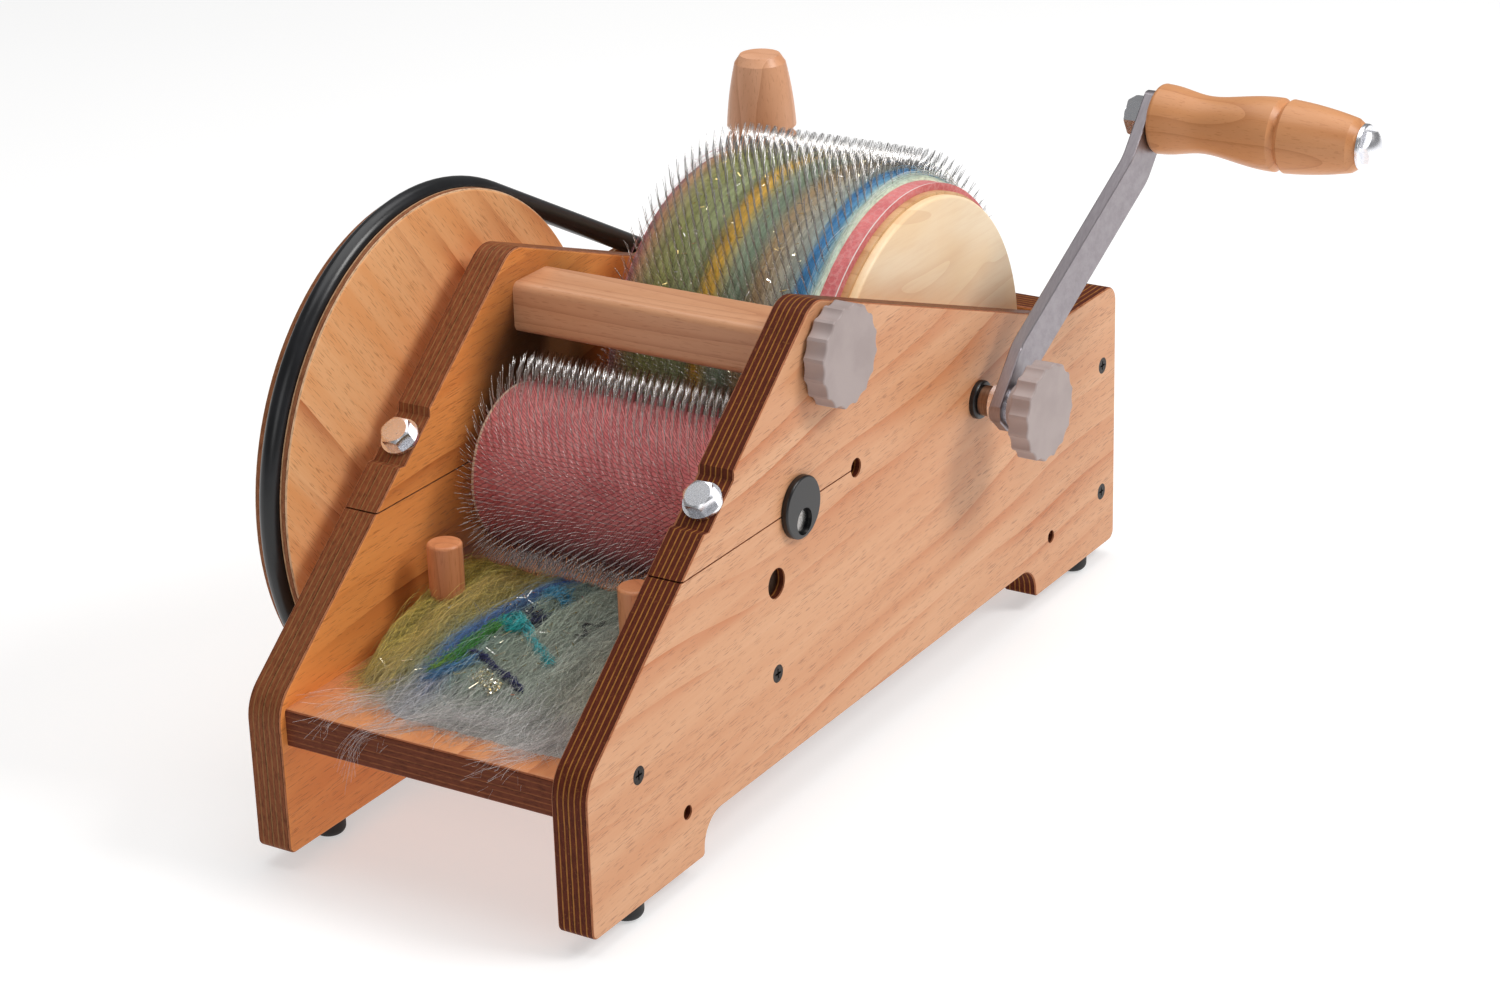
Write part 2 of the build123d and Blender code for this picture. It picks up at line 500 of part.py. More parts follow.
def build():
    """Every piece by name, still in the building frame."""
    sides = (-1, 1)
    spacer_in = HALF_OUT + DRUM_FLANGE_T + GAP
    wheel_face = -WHEEL_X - WHEEL_T / 2
    cloth_r = DRUM_R + CLOTH_T
    licker_cloth_r = LICKER_R + LICKER_CLOTH_T
    nodes = {}
    for name, side in (("left", -1), ("right", 1)):
        nodes["side_panel_" + name] = side_panel(side)
        nodes["guide_peg_" + name] = guide_peg(side)
        nodes["drum_bush_" + name] = drum_bush(side)
        nodes["gap_bush_" + name] = gap_bush(side)
        nodes["clamp_bolt_" + name] = clamp_bolt(side)
        nodes["barrel_nut_" + name] = barrel_nut(side)
    nodes["feed_tray"] = feed_tray()
    nodes["rear_board"] = rear_board()
    nodes["tie_bar"] = tie_bar()
    nodes["tray_screws"] = group(screw(HALF_OUT, s, y, z) for s in sides for y, z in TRAY_SCREWS)
    nodes["rear_board_screws"] = group(screw(HALF_OUT, s, y, z) for s in sides for y, z in REAR_SCREWS)
    nodes["tie_bar_screw"] = screw(HALF_OUT, -1, BAR_Y, BAR_Z)
    nodes["rubber_feet"] = group(foot(s, y) for s in sides for y in FOOT_Y)
    nodes["tie_bar_insert"] = ring(HALF_IN - 22, HALF_IN, 6.0, BOLT_R + RUN, BAR_KNOB_Y, BAR_KNOB_Z)
    nodes["tie_bar_knob"] = bar_knob()
    nodes["tie_bar_stud"] = rod(HALF_IN - 30, BAR_KNOB_FACE - 3, BOLT_R, BAR_KNOB_Y, BAR_KNOB_Z)
    # drum
    nodes["drum_core"] = drum_core()
    nodes["drum_end_disc_right"] = end_disc(DRUM_X1, DRUM_X1 + DISC_T)
    nodes["drum_end_disc_left"] = end_disc(DRUM_X0 - DISC_T, DRUM_X0)
    nodes["drum_card_cloth"] = ring(*DRUM_CLOTH_X, cloth_r, DRUM_R, DRUM_Y, AXIS_Z)
    nodes["drum_teeth"] = pins(DRUM_Y, AXIS_Z, spaced(-54, 46, 6), 20, cloth_r - 1, DRUM_TIP_R)
    nodes["drum_fibre"] = ring(*DRUM_FIBRE_X, cloth_r + 3.0, cloth_r, DRUM_Y, AXIS_Z)
    nodes["drum_shaft"] = drum_shaft()
    nodes["drum_collars"] = group([
        ring(DRUM_X1 + DISC_T, HALF_IN - GAP, 9.0, SHAFT_R, DRUM_Y, AXIS_Z),
        ring(GAP - HALF_IN, DRUM_X0 - DISC_T, 9.0, SHAFT_R, DRUM_Y, AXIS_Z)])
    nodes["drive_pulley"] = grooved_wheel(PULLEY_R, BELT_PULLEY_R - BELT_R - GAP, GRIP_BOLT_R, DRUM_Y)
    nodes["pulley_spacer"] = ring(-wheel_face, -spacer_in, 9.0, GRIP_BOLT_R, DRUM_Y, AXIS_Z)
    nodes["crank_sleeve"] = ring(spacer_in, ARM_X0 - 2.8, 7.3, SHAFT_R, DRUM_Y, AXIS_Z)
    nodes["arm_washers"] = group([
        ring(ARM_X0 - 2.8, ARM_X0, 9.8, SHAFT_R, DRUM_Y, AXIS_Z),
        ring(ARM_X0 + ARM_T, ARM_X0 + ARM_T + 1.6, 9.0, GRIP_BOLT_R, DRUM_Y, AXIS_Z)])
    nodes["crank_arm"] = crank_arm()
    nodes["grip_bolt"] = grip_bolt()
    nodes["grip_nut"] = grip_nut()
    nodes["crank_grip"] = crank_grip()
    nodes["crank_knob"] = crank_knob()
    nodes["crank_knob_insert"] = crank_knob_insert()
    # small roller
    nodes["licker_core"] = ring(-LICKER_X, LICKER_X, LICKER_R, LICKER_SHAFT_R, LICKER_Y, AXIS_Z)
    nodes["licker_card_cloth"] = ring(-LICKER_X, LICKER_X, licker_cloth_r, LICKER_R, LICKER_Y, AXIS_Z)
    nodes["licker_teeth"] = pins(LICKER_Y, AXIS_Z, spaced(-56, 49, 6), 12, licker_cloth_r - 1, LICKER_TIP_R)
    nodes["licker_shaft"] = rod(WHEEL_X - 19, HALF_OUT + GAP + 0.6, LICKER_SHAFT_R, LICKER_Y, AXIS_Z)
    nodes["licker_collars"] = group([
        ring(LICKER_X, HALF_IN, 8.0, LICKER_SHAFT_R, LICKER_Y, AXIS_Z),
        ring(-HALF_IN, -LICKER_X, 8.0, LICKER_SHAFT_R, LICKER_Y, AXIS_Z)])
    nodes["drive_wheel"] = grooved_wheel(
        WHEEL_R, BELT_WHEEL_R - BELT_R - WHEEL_SLACK, LICKER_SHAFT_R, LICKER_Y)
    nodes["wheel_spacer"] = ring(
        -wheel_face, -spacer_in - GAP, 8.0, LICKER_SHAFT_R, LICKER_Y, AXIS_Z)
    wheel_back = WHEEL_X - WHEEL_T / 2
    for name, y in (("wheel", LICKER_Y), ("pulley", DRUM_Y)):
        nut = hexagon(wheel_back - 9.6, wheel_back - 1.6, 17.0, y, AXIS_Z)
        nodes[name + "_nut"] = nut - rod(wheel_back - 11, wheel_back, GRIP_BOLT_R, y, AXIS_Z)
        nodes[name + "_washer"] = ring(wheel_back - 1.6, wheel_back, 12.0, GRIP_BOLT_R, y, AXIS_Z)
    nodes["drive_belt"] = drive_belt()
    nodes["awl_handle"] = awl_handle()
    nodes["awl_ferrule"] = awl_ferrule()
    nodes["awl_blade"] = awl_blade()
    nodes["feed_fibre"] = feed_fibre()
    return nodes


def bottom_centre(nodes):
    """Bottom centre of the box around all the pieces."""
    boxes = [shape.bounding_box() for shape in nodes.values()]
    low = [min(getattr(b.min, axis) for b in boxes) for axis in "XYZ"]
    high = [max(getattr(b.max, axis) for b in boxes) for axis in "XYZ"]
    return ((low[0] + high[0]) / 2, (low[1] + high[1]) / 2, low[2])


pieces = build()
ORIGIN = bottom_centre(pieces)
os.makedirs("parts", exist_ok=True)
for node_name, solid in pieces.items():
    export_step(Pos(-ORIGIN[0], -ORIGIN[1], -ORIGIN[2]) * solid, "parts/" + node_name + ".step")
print("origin at", [round(v, 3) for v in ORIGIN], "nodes", len(pieces))
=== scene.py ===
import json
import math

import bpy
import numpy as np
from mathutils import Matrix, Vector


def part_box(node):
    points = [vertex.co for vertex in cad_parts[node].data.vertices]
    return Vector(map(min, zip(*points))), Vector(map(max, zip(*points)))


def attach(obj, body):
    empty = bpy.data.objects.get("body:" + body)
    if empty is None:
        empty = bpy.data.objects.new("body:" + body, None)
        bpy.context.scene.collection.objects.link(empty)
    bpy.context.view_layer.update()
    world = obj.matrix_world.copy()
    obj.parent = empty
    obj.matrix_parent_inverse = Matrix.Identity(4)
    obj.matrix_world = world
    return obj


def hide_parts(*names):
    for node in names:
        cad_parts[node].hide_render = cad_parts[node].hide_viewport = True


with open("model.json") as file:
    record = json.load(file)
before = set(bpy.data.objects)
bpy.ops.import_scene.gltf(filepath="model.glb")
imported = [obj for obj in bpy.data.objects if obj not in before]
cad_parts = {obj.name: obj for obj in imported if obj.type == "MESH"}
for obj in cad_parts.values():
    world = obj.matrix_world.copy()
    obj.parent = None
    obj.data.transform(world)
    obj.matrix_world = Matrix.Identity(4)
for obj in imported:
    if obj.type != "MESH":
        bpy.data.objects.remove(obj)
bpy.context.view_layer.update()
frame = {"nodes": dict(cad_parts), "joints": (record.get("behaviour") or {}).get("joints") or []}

# Drum carder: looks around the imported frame.  Metres, origin at the bottom centre, +X the crank side,
# +Y the back, +Z up.  Places inside the machine are given in millimetres from the panels' front lower
# corner, midway between the panels, and moved by at().

MM = 0.001

left_low, left_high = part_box("side_panel_left")
right_low, right_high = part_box("side_panel_right")
CORNER = np.array([(left_low.x + right_high.x) / 2, right_low.y, right_low.z])
PLY = right_high.x - right_low.x
AXLE = {j["name"]: np.array(j["pos_m"]) for j in frame["joints"] if "pos_m" in j}
DRUM_AXLE, LICKER_AXLE = AXLE["crank_turn"], AXLE["licker_turn"]
rng = np.random.default_rng(41)


def at(points):
    """Millimetres from the panels' front lower corner, as metres in the frame."""
    return np.asarray(points, float) * MM + CORNER


# ---- numbers and curves ----------------------------------------------------------------------------
def linear(rgb):
    """Screen colour 0 to 255 as linear light: ((c / 255 + 0.055) / 1.055) to the power 2.4."""
    c = np.asarray(rgb, float) / 255.0
    return np.where(c <= 0.04045, c / 12.92, ((c + 0.055) / 1.055) ** 2.4)


def rgba(rgb):
    """Screen colour as the four numbers of a colour socket."""
    return (*linear(rgb), 1.0)


def colour_along(stops, value):
    """Linear colour at each value, blended between stops of (value, screen colour)."""
    stops = sorted(stops, key=lambda s: s[0])
    keys = [s[0] for s in stops]
    table = linear([s[1] for s in stops])
    return np.stack([np.interp(value, keys, table[:, i]) for i in range(3)], axis=-1)


def soft_noise(u, v, seed, wrap=False):
    """Smooth noise from 0 to 1: random values at whole u, v, blended by 3t^2 - 2t^3 between them."""
    grid = np.random.default_rng(seed).random((97, 97))
    iu, iv = np.floor(u).astype(int), np.floor(v).astype(int)
    fu, fv = u - iu, v - iv
    fu, fv = fu * fu * (3 - 2 * fu), fv * fv * (3 - 2 * fv)
    a, b = grid[iu % 97, iv % 97], grid[(iu + 1) % 97, iv % 97]
    c, d = grid[iu % 97, (iv + 1) % 97], grid[(iu + 1) % 97, (iv + 1) % 97]
    return (a * (1 - fu) + b * fu) * (1 - fv) + (c * (1 - fu) + d * fu) * fv


def unit(v):
    """Vectors divided by their lengths."""
    return v / np.maximum(np.linalg.norm(v, axis=-1, keepdims=True), 1e-12)


def through(points, count):
    """Smooth line through a few given points: Catmull-Rom cubics, count points in all."""
    p = np.asarray(points, float)
    p = np.vstack([2 * p[0] - p[1], p, 2 * p[-1] - p[-2]])
    t = np.linspace(0, len(p) - 3 - 1e-9, count)
    i = t.astype(int)
    f = (t - i)[:, None]
    a, b, c, d = p[i], p[i + 1], p[i + 2], p[i + 3]
    return 0.5 * (2 * b + (c - a) * f + (2 * a - 5 * b + 4 * c - d) * f ** 2
                  + (3 * b - a - 3 * c + d) * f ** 3)


# ---- meshes ----------------------------------------------------------------------------------------
def piece(name, verts, faces, body, material, tint=None, uv=None, smooth=True):
    """Mesh from whole arrays: corner points, a list of face arrays, and a colour for each point."""
    mesh = bpy.data.meshes.new(name)
    loops = np.concatenate([f.ravel() for f in faces])
    sizes = np.concatenate([np.full(len(f), f.shape[1]) for f in faces])
    mesh.vertices.add(len(verts))
    mesh.vertices.foreach_set("co", np.asarray(verts, np.float32).ravel())
    mesh.loops.add(len(loops))
    mesh.loops.foreach_set("vertex_index", loops.astype(np.int32))
    mesh.polygons.add(len(sizes))
    mesh.polygons.foreach_set("loop_start", np.concatenate([[0], np.cumsum(sizes)[:-1]]).astype(np.int32))
    mesh.update(calc_edges=True)
    mesh.validate()
    if tint is not None:
        layer = mesh.color_attributes.new("tint", "FLOAT_COLOR", "POINT")
        full = np.concatenate([tint, np.ones((len(tint), 1))], axis=1)
        layer.data.foreach_set("color", full.astype(np.float32).ravel())
    if uv is not None:
        layer = mesh.uv_layers.new(name="wrap")
        index = np.empty(len(mesh.loops), np.int32)
        mesh.loops.foreach_get("vertex_index", index)
        layer.data.foreach_set("uv", uv[index].astype(np.float32).ravel())
    mesh.shade_smooth() if smooth else mesh.shade_flat()
    made = bpy.data.objects.new(name, mesh)
    bpy.context.scene.collection.objects.link(made)
    made.data.materials.append(material)
    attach(made, body)
    return made


def tubes(paths, radii, sides):
    """Closed tubes along n paths of k points.  Each ring of corners is radius x (cos a, sin a) on the two
    directions across the path: tangent x reference, and the tangent x that direction."""
    n, k, _ = paths.shape
    tangent = unit(np.gradient(paths, axis=1))
    lean = np.abs(tangent.mean(axis=1))
    reference = np.where(lean[:, :1] > 0.8, [[0.0, 0.0, 1.0]], [[1.0, 0.0, 0.0]])[:, None, :]
    across = unit(np.cross(tangent, np.broadcast_to(reference, tangent.shape)))
    other = np.cross(tangent, across)
    angle = 2 * math.pi * np.arange(sides) / sides
    spread = (np.cos(angle)[:, None] * across[:, :, None, :] + np.sin(angle)[:, None] * other[:, :, None, :])
    rings = paths[:, :, None, :] + np.broadcast_to(radii, (n, k))[:, :, None, None] * spread
    index = np.arange(n * k * sides).reshape(n, k, sides)
    first, second = index[:, :-1], index[:, 1:]
    quads = np.stack([first, np.roll(first, -1, 2), np.roll(second, -1, 2), second], axis=-1).reshape(-1, 4)
    caps = np.concatenate([index[:, 0, ::-1], index[:, -1, :]])
    return rings.reshape(-1, 3), [quads, caps]


def strands(name, paths, radii, colours, body, material, sides=3):
    """One piece of many thin tubes, each with its own colour."""
    verts, faces = tubes(paths, radii, sides)
    per_point = np.repeat(colours, paths.shape[1] * sides, axis=0)
    return piece(name, verts, faces, body, material, tint=per_point)


# ---- material helper -------------------------------------------------------------------------------
class Finish:
    """A material built node by node; sockets are passed on as links, anything else is set as a value."""

    def __init__(self, name):
        self.material = bpy.data.materials.new(name)
        self.material.use_nodes = True
        self.tree = self.material.node_tree
        self.surface = self.tree.nodes["Principled BSDF"]
        self.coords = self.tree.nodes.new("ShaderNodeTexCoord")

    def put(self, socket, value):
        if isinstance(value, bpy.types.NodeSocket):
            self.tree.links.new(value, socket)
        else:
            socket.default_value = value

    def add(self, kind, settings=None, **inputs):
        node = self.tree.nodes.new("ShaderNode" + kind)
        for key, value in (settings or {}).items():
            setattr(node, key, value)
        for key, value in inputs.items():
            self.put(node.inputs[key.replace("_", " ")], value)
        return node

    def math(self, operation, a, b=0.0, c=0.0, clamp=False):
        node = self.add("Math", {"operation": operation, "use_clamp": clamp})
        for socket, value in zip(node.inputs, (a, b, c)):
            self.put(socket, value)
        return node.outputs[0]

    def mapped(self, scale=(1, 1, 1), turn=(0, 0, 0), place=(0, 0, 0), source="Object"):
        node = self.add("Mapping", {"vector_type": "POINT"}, Vector=self.coords.outputs[source],
                        Scale=scale, Rotation=turn, Location=place)
        return node.outputs[0]

    def noise(self, vector, scale=1.0, detail=3.0, rough=0.5, warp=0.0):
        return self.add("TexNoise", None, Vector=vector, Scale=scale, Detail=detail, Roughness=rough,
                        Distortion=warp).outputs["Fac"]

    def ramp(self, value, stops, mode="LINEAR"):
        node = self.add("ValToRGB", None, Fac=value)
        node.color_ramp.interpolation = mode
        marks = node.color_ramp.elements
        while len(marks) < len(stops):
            marks.new(0.5)
        for mark, (place, colour) in zip(marks, stops):
            mark.position = place
            mark.color = colour if len(colour) == 4 else rgba(colour)
        return node.outputs[0]

    def span(self, value, low, high):
        """0 below low, 1 above high, smooth between."""
        node = self.add("MapRange", {"interpolation_type": "SMOOTHSTEP"}, Value=value)
        node.inputs["From Min"].default_value = low
        node.inputs["From Max"].default_value = high
        return node.outputs[0]

    def mix(self, factor, a, b, how="MIX"):
        node = self.add("Mix", {"data_type": "RGBA", "blend_type": how, "clamp_factor": True})
        for socket, value in zip((node.inputs[0], node.inputs[6], node.inputs[7]), (factor, a, b)):
            self.put(socket, value)
        return node.outputs[2]

    def parts(self, vector):
        return self.add("SeparateXYZ", None, Vector=vector).outputs

    def bump(self, height, distance, strength=1.0):
        node = self.add("Bump", None, Height=height, Distance=distance, Strength=strength)
        self.put(self.surface.inputs["Normal"], node.outputs[0])

    def done(self, colour=None, rough=0.5, metal=0.0, **others):
        if colour is not None:
            self.put(self.surface.inputs["Base Color"], colour)
        self.put(self.surface.inputs["Roughness"], rough)
        self.put(self.surface.inputs["Metallic"], metal)
        for key, value in others.items():
            self.put(self.surface.inputs[key.replace("_", " ")], value)
        return self.material


# ---- wood ------------------------------------------------------------------------------------------
PAINTED_SHADE_CENTRE = at((0, 200, 146))      # middle of the painted shade between the two rollers, where the inner faces get little light


def veneer(m, grain_turn, seed, pale, mid, dark, pore, ring=0.019):
    """Colour and height of a plain-sawn face.  The grain runs along the second coordinate after turning;
    growth lines are the fraction of (height + slow noise) / ring spacing, soft on one side and sharp on the
    other; pores are short dashes from noise stretched along the grain.  Returns (colour, height)."""
    place = (seed * 0.37, seed * 0.73, seed * 0.19)
    base = m.mapped(turn=grain_turn)

    def noise(scale, start=place, detail=2.0, rough=0.5):
        return m.noise(m.add("Mapping", None, Vector=base, Scale=scale, Location=start).outputs[0],
                       detail=detail, rough=rough)

    height = m.parts(base)[2]
    warped = m.math("ADD", height, m.math("MULTIPLY", noise((1.5, 2.4, 5.0)), 0.085))
    warped = m.math("ADD", warped, m.math("MULTIPLY", noise((12, 9, 60), detail=3.0), 0.0030))
    saw = m.math("FRACT", m.math("DIVIDE", warped, ring))
    line = m.math("MULTIPLY", m.math("POWER", saw, 3.2), m.span(noise((4, 4, 22), place[::-1]), 0.42, 0.66))
    broad = noise((6, 3.5, 60), detail=4.0)
    streak = noise((300, 11, 1100), detail=4.0, rough=0.62)
    dash = noise((400, 120, 2400), place[::-1], detail=1.5, rough=0.45)
    crowd = noise((10, 8, 50), (seed * 0.11, 3.0, seed * 0.4), detail=2.0)
    dashes = m.span(m.math("ADD", dash, m.math("MULTIPLY", m.math("SUBTRACT", crowd, 0.5), 0.16)), 0.60, 0.68)
    colour = m.mix(m.span(broad, 0.33, 0.70), rgba(pale), rgba(mid))
    colour = m.mix(m.math("MULTIPLY", m.span(streak, 0.40, 0.70), 0.42), colour, rgba(mid))
    colour = m.mix(m.math("MULTIPLY", line, 0.88), colour, rgba(dark))
    colour = m.mix(m.math("MULTIPLY", dashes, 0.50), colour, rgba(pore))
    relief = m.math("SUBTRACT", m.math("MULTIPLY", streak, 0.25), dashes)
    return colour, relief


PLY_LAYERS = (  # share of the thickness, kind: f face veneer, b brown cross layer, g gold long layer, k glue
    (0.000, "f"), (0.050, "k"), (0.060, "b"), (0.165, "g"), (0.200, "b"), (0.330, "g"), (0.365, "b"),
    (0.455, "k"), (0.465, "g"), (0.505, "b"), (0.630, "g"), (0.665, "b"), (0.800, "g"), (0.835, "b"),
    (0.940, "k"), (0.950, "f"))


def plywood(name, axis, low, high, faces, edges, turn=(0, 0, 0), seed=1, two_sided=None):
    """Plywood.  Faces, where the normal lies along the thickness, show veneer; elsewhere the layers show as
    stripes that depend only on the depth through the sheet.  faces = pale, mid, dark, pore colours;
    edges = face, brown, gold, glue colours; two_sided = colours of the face towards -axis."""
    m = Finish(name)
    colour, relief = veneer(m, turn, seed, *faces)
    normal = m.parts(m.coords.outputs["Normal"])[axis]
    if two_sided:
        other, _ = veneer(m, turn, seed + 3, *two_sided)
        colour = m.mix(m.span(normal, -0.1, 0.1), other, colour)
        # Painted shade: the inward faces darken towards (36, 20, 12) round a point between the rollers, standing in for
        # the shadow of the rollers and tie bar.
        inner = m.span(normal, 0.1, -0.1) if (low + high) / 2 > CORNER[0] else m.span(normal, -0.1, 0.1)
        spread = m.mapped(scale=(0, 14, 12), place=(0, -14 * PAINTED_SHADE_CENTRE[1], -12 * PAINTED_SHADE_CENTRE[2]))
        reach = m.add("VectorMath", {"operation": "LENGTH"}, Vector=spread).outputs["Value"]
        painted_shade = m.math("MULTIPLY", m.math("SUBTRACT", 1.0, m.span(reach, 0.48, 0.95)), 0.90)
        colour = m.mix(m.math("MULTIPLY", painted_shade, inner), colour, rgba((36, 20, 12)))
    depth = m.parts(m.coords.outputs["Object"])[axis]
    wave = m.noise(m.mapped(scale=(25, 25, 25)), detail=2.0)
    share = m.math("DIVIDE", m.math("SUBTRACT", depth, low), high - low)
    share = m.math("ADD", share, m.math("MULTIPLY", m.math("SUBTRACT", wave, 0.5), 0.03))
    tones = dict(zip("fbgk", edges))
    stripes = m.ramp(share, [(p, tones[k]) for p, k in PLY_LAYERS], "CONSTANT")
    stretch = [260.0, 260.0, 260.0]
    stretch[axis] = 1500.0
    grit = m.noise(m.mapped(scale=tuple(stretch)), detail=4.0, rough=0.7)
    stripes = m.mix(m.math("MULTIPLY", m.span(grit, 0.42, 0.70), 0.55), stripes, rgba((52, 24, 18)))
    pale_grit = m.noise(m.mapped(scale=(900, 900, 900), place=(3, 1, 2)), detail=2.0)
    stripes = m.mix(m.math("MULTIPLY", m.span(pale_grit, 0.58, 0.75), 0.22), stripes, rgba(edges[2]))
    face = m.span(m.math("ABSOLUTE", normal), 0.80, 0.93)
    final = m.mix(face, stripes, colour)
    bumps = m.mix(face, grit, relief)
    m.bump(bumps, 0.00012, 0.5)
    shine = m.math("ADD", m.math("MULTIPLY", face, 0.30), 0.05)
    return m.done(final, rough=0.42, Specular_IOR_Level=shine)


def solid_wood(name, axis, pale, mid, dark, seed=1, ring=0.010, rough=0.34, fleck=0.35):
    """Planed or turned wood with the grain along one axis: lines from noise stretched along that axis,
    and short darker flecks."""
    m = Finish(name)
    along = [1.0, 1.0, 1.0]

    def stretched(length, width, place=0.0):
        scale = [width] * 3
        scale[axis] = length
        return m.mapped(scale=tuple(scale), place=(place + seed, place, seed * 0.5))

    broad = m.noise(stretched(4, 45), detail=3.0, warp=0.4)
    fine = m.noise(stretched(14, 700), detail=4.0, rough=0.65)
    lines = m.math("FRACT", m.math("MULTIPLY", m.noise(stretched(2.2, 30, 2.0), detail=1.0), 0.09 / ring))
    lines = m.math("MULTIPLY", m.math("POWER", lines, 6.0), 0.55)
    flecks = m.span(m.noise(stretched(140, 1500, 5.0), detail=1.0), 0.60, 0.70)
    colour = m.mix(m.span(broad, 0.32, 0.70), rgba(pale), rgba(mid))
    colour = m.mix(m.math("MULTIPLY", m.span(fine, 0.40, 0.72), 0.40), colour, rgba(mid))
    colour = m.mix(lines, colour, rgba(dark))
    colour = m.mix(m.math("MULTIPLY", flecks, fleck), colour, rgba(dark))
    m.bump(fine, 0.00008, 0.4)
    return m.done(colour, rough=rough, Specular_IOR_Level=0.35)


def pine_disc(name, seed):
    """Turned pine: broad soft bands of a slow noise, with faint darker lines through them."""
    m = Finish(name)
    warped = m.noise(m.mapped(scale=(6, 5, 16), place=(seed, 0.3, 0.1)), detail=2.0, warp=0.5)
    line = m.math("POWER", m.math("FRACT", m.math("MULTIPLY", warped, 5.0)), 3.0)
    fine = m.noise(m.mapped(scale=(300, 25, 420)), detail=4.0, rough=0.65)
    cloud = m.noise(m.mapped(scale=(20, 14, 26), place=(seed, 2, 4)), detail=3.0)
    colour = m.mix(m.span(cloud, 0.30, 0.72), rgba((254, 232, 198)), rgba((248, 214, 168)))
    colour = m.mix(m.math("MULTIPLY", line, 0.30), colour, rgba((222, 168, 116)))
    colour = m.mix(m.math("MULTIPLY", m.span(fine, 0.4, 0.75), 0.22), colour, rgba((228, 184, 136)))
    m.bump(fine, 0.00006, 0.4)
    return m.done(colour, rough=0.38, Specular_IOR_Level=0.4)


# ---- metal, plastic, rubber ------------------------------------------------------------------------
def metal(name, light, shade, rough, stretch=(90, 90, 90), scratch=0.10, dirt=0.15):
    """Bare or plated metal: two close tones, fine lines stretched one way, roughness that follows them."""
    m = Finish(name)
    lines = m.noise(m.mapped(scale=stretch), detail=5.0, rough=0.7)
    spots = m.noise(m.mapped(scale=(160, 160, 160), place=(1, 5, 2)), detail=3.0)
    colour = m.mix(m.span(lines, 0.30, 0.72), rgba(light), rgba(shade))
    colour = m.mix(m.math("MULTIPLY", m.span(spots, 0.52, 0.75), dirt), colour, rgba((70, 62, 58)))
    roughness = m.math("ADD", m.math("MULTIPLY", lines, scratch), rough)
    m.bump(lines, 0.00003, 0.3)
    return m.done(colour, rough=roughness, metal=1.0)


def moulded(name, tone, worn, rough, grain=1800.0, height=0.00004):
    """Moulded plastic or rubber: one tone with faint clouding towards a second tone, and a fine skin texture."""
    m = Finish(name)
    cloud = m.noise(m.mapped(scale=(60, 60, 60)), detail=4.0)
    skin = m.noise(m.mapped(scale=(grain, grain, grain)), detail=2.0)
    colour = m.mix(m.span(cloud, 0.35, 0.75), rgba(tone), rgba(worn))
    m.bump(skin, height, 0.5)
    return m.done(colour, rough=m.math("ADD", m.math("MULTIPLY", cloud, 0.12), rough))


def wire_finish():
    """Steel wire of the card teeth."""
    m = Finish("tooth wire steel")
    lines = m.noise(m.mapped(scale=(900, 900, 900)), detail=2.0)
    colour = m.mix(lines, rgba((236, 234, 232)), rgba((150, 146, 144)))
    return m.done(colour, rough=0.22, metal=1.0)


def cloth_finish(name, pale_from, pale_to, pale):
    """Card cloth foundation: red-pink felt over rubber, with a dimple pattern where the wires come through,
    and a paler cut edge between two places across the machine."""
    m = Finish(name)
    cells = m.add("TexVoronoi", {"feature": "F1"}, Vector=m.mapped(scale=(1, 1, 1)), Scale=420.0).outputs[0]
    felt = m.noise(m.mapped(scale=(1500, 1500, 1500)), detail=3.0, rough=0.7)
    cloud = m.noise(m.mapped(scale=(45, 45, 45)), detail=4.0)
    colour = m.mix(m.span(cloud, 0.35, 0.68), rgba((226, 124, 124)), rgba((206, 100, 102)))
    colour = m.mix(m.math("MULTIPLY", m.span(cells, 0.45, 0.75), 0.45), colour, rgba((226, 156, 154)))
    colour = m.mix(m.math("MULTIPLY", m.span(felt, 0.45, 0.70), 0.35), colour, rgba((134, 54, 62)))
    across = m.parts(m.coords.outputs["Object"])[0]
    inside = m.math("MULTIPLY", m.math("GREATER_THAN", across, pale_from), m.math("LESS_THAN", across, pale_to))
    colour = m.mix(inside, colour, rgba(pale))
    m.bump(m.math("ADD", cells, felt), 0.0003, 0.6)
    return m.done(colour, rough=0.75, Sheen_Weight=0.2, Sheen_Roughness=0.5)


def wool_finish(name, gloss=0.62):
    """Wool: the piece's own colour attribute, broken by fine noise, with a soft sheen."""
    m = Finish(name)
    tint = m.add("Attribute", {"attribute_name": "tint"}).outputs["Color"]
    fuzz = m.noise(m.mapped(scale=(1300, 300, 300)), detail=4.0, rough=0.7)
    lock = m.noise(m.mapped(scale=(350, 90, 90), place=(2, 2, 2)), detail=3.0)
    dark = m.mix(1.0, tint, rgba((150, 150, 150)), "MULTIPLY")
    colour = m.mix(m.math("MULTIPLY", m.span(fuzz, 0.40, 0.70), 0.55), tint, dark)
    colour = m.mix(m.math("MULTIPLY", m.span(lock, 0.50, 0.75), 0.30), colour, dark)
    m.bump(m.math("ADD", fuzz, lock), 0.0006, 0.8)
    return m.done(colour, rough=gloss, Sheen_Weight=0.25, Sheen_Roughness=0.5)


def glitter_finish():
    """Metallised film flakes, each with its own colour attribute."""
    m = Finish("metallised film")
    tint = m.add("Attribute", {"attribute_name": "tint"}).outputs["Color"]
    shade = m.noise(m.mapped(scale=(2500, 2500, 2500)), detail=1.0)
    colour = m.mix(m.math("MULTIPLY", shade, 0.3), tint, rgba((120, 100, 70)))
    return m.done(colour, rough=0.16, metal=1.0)


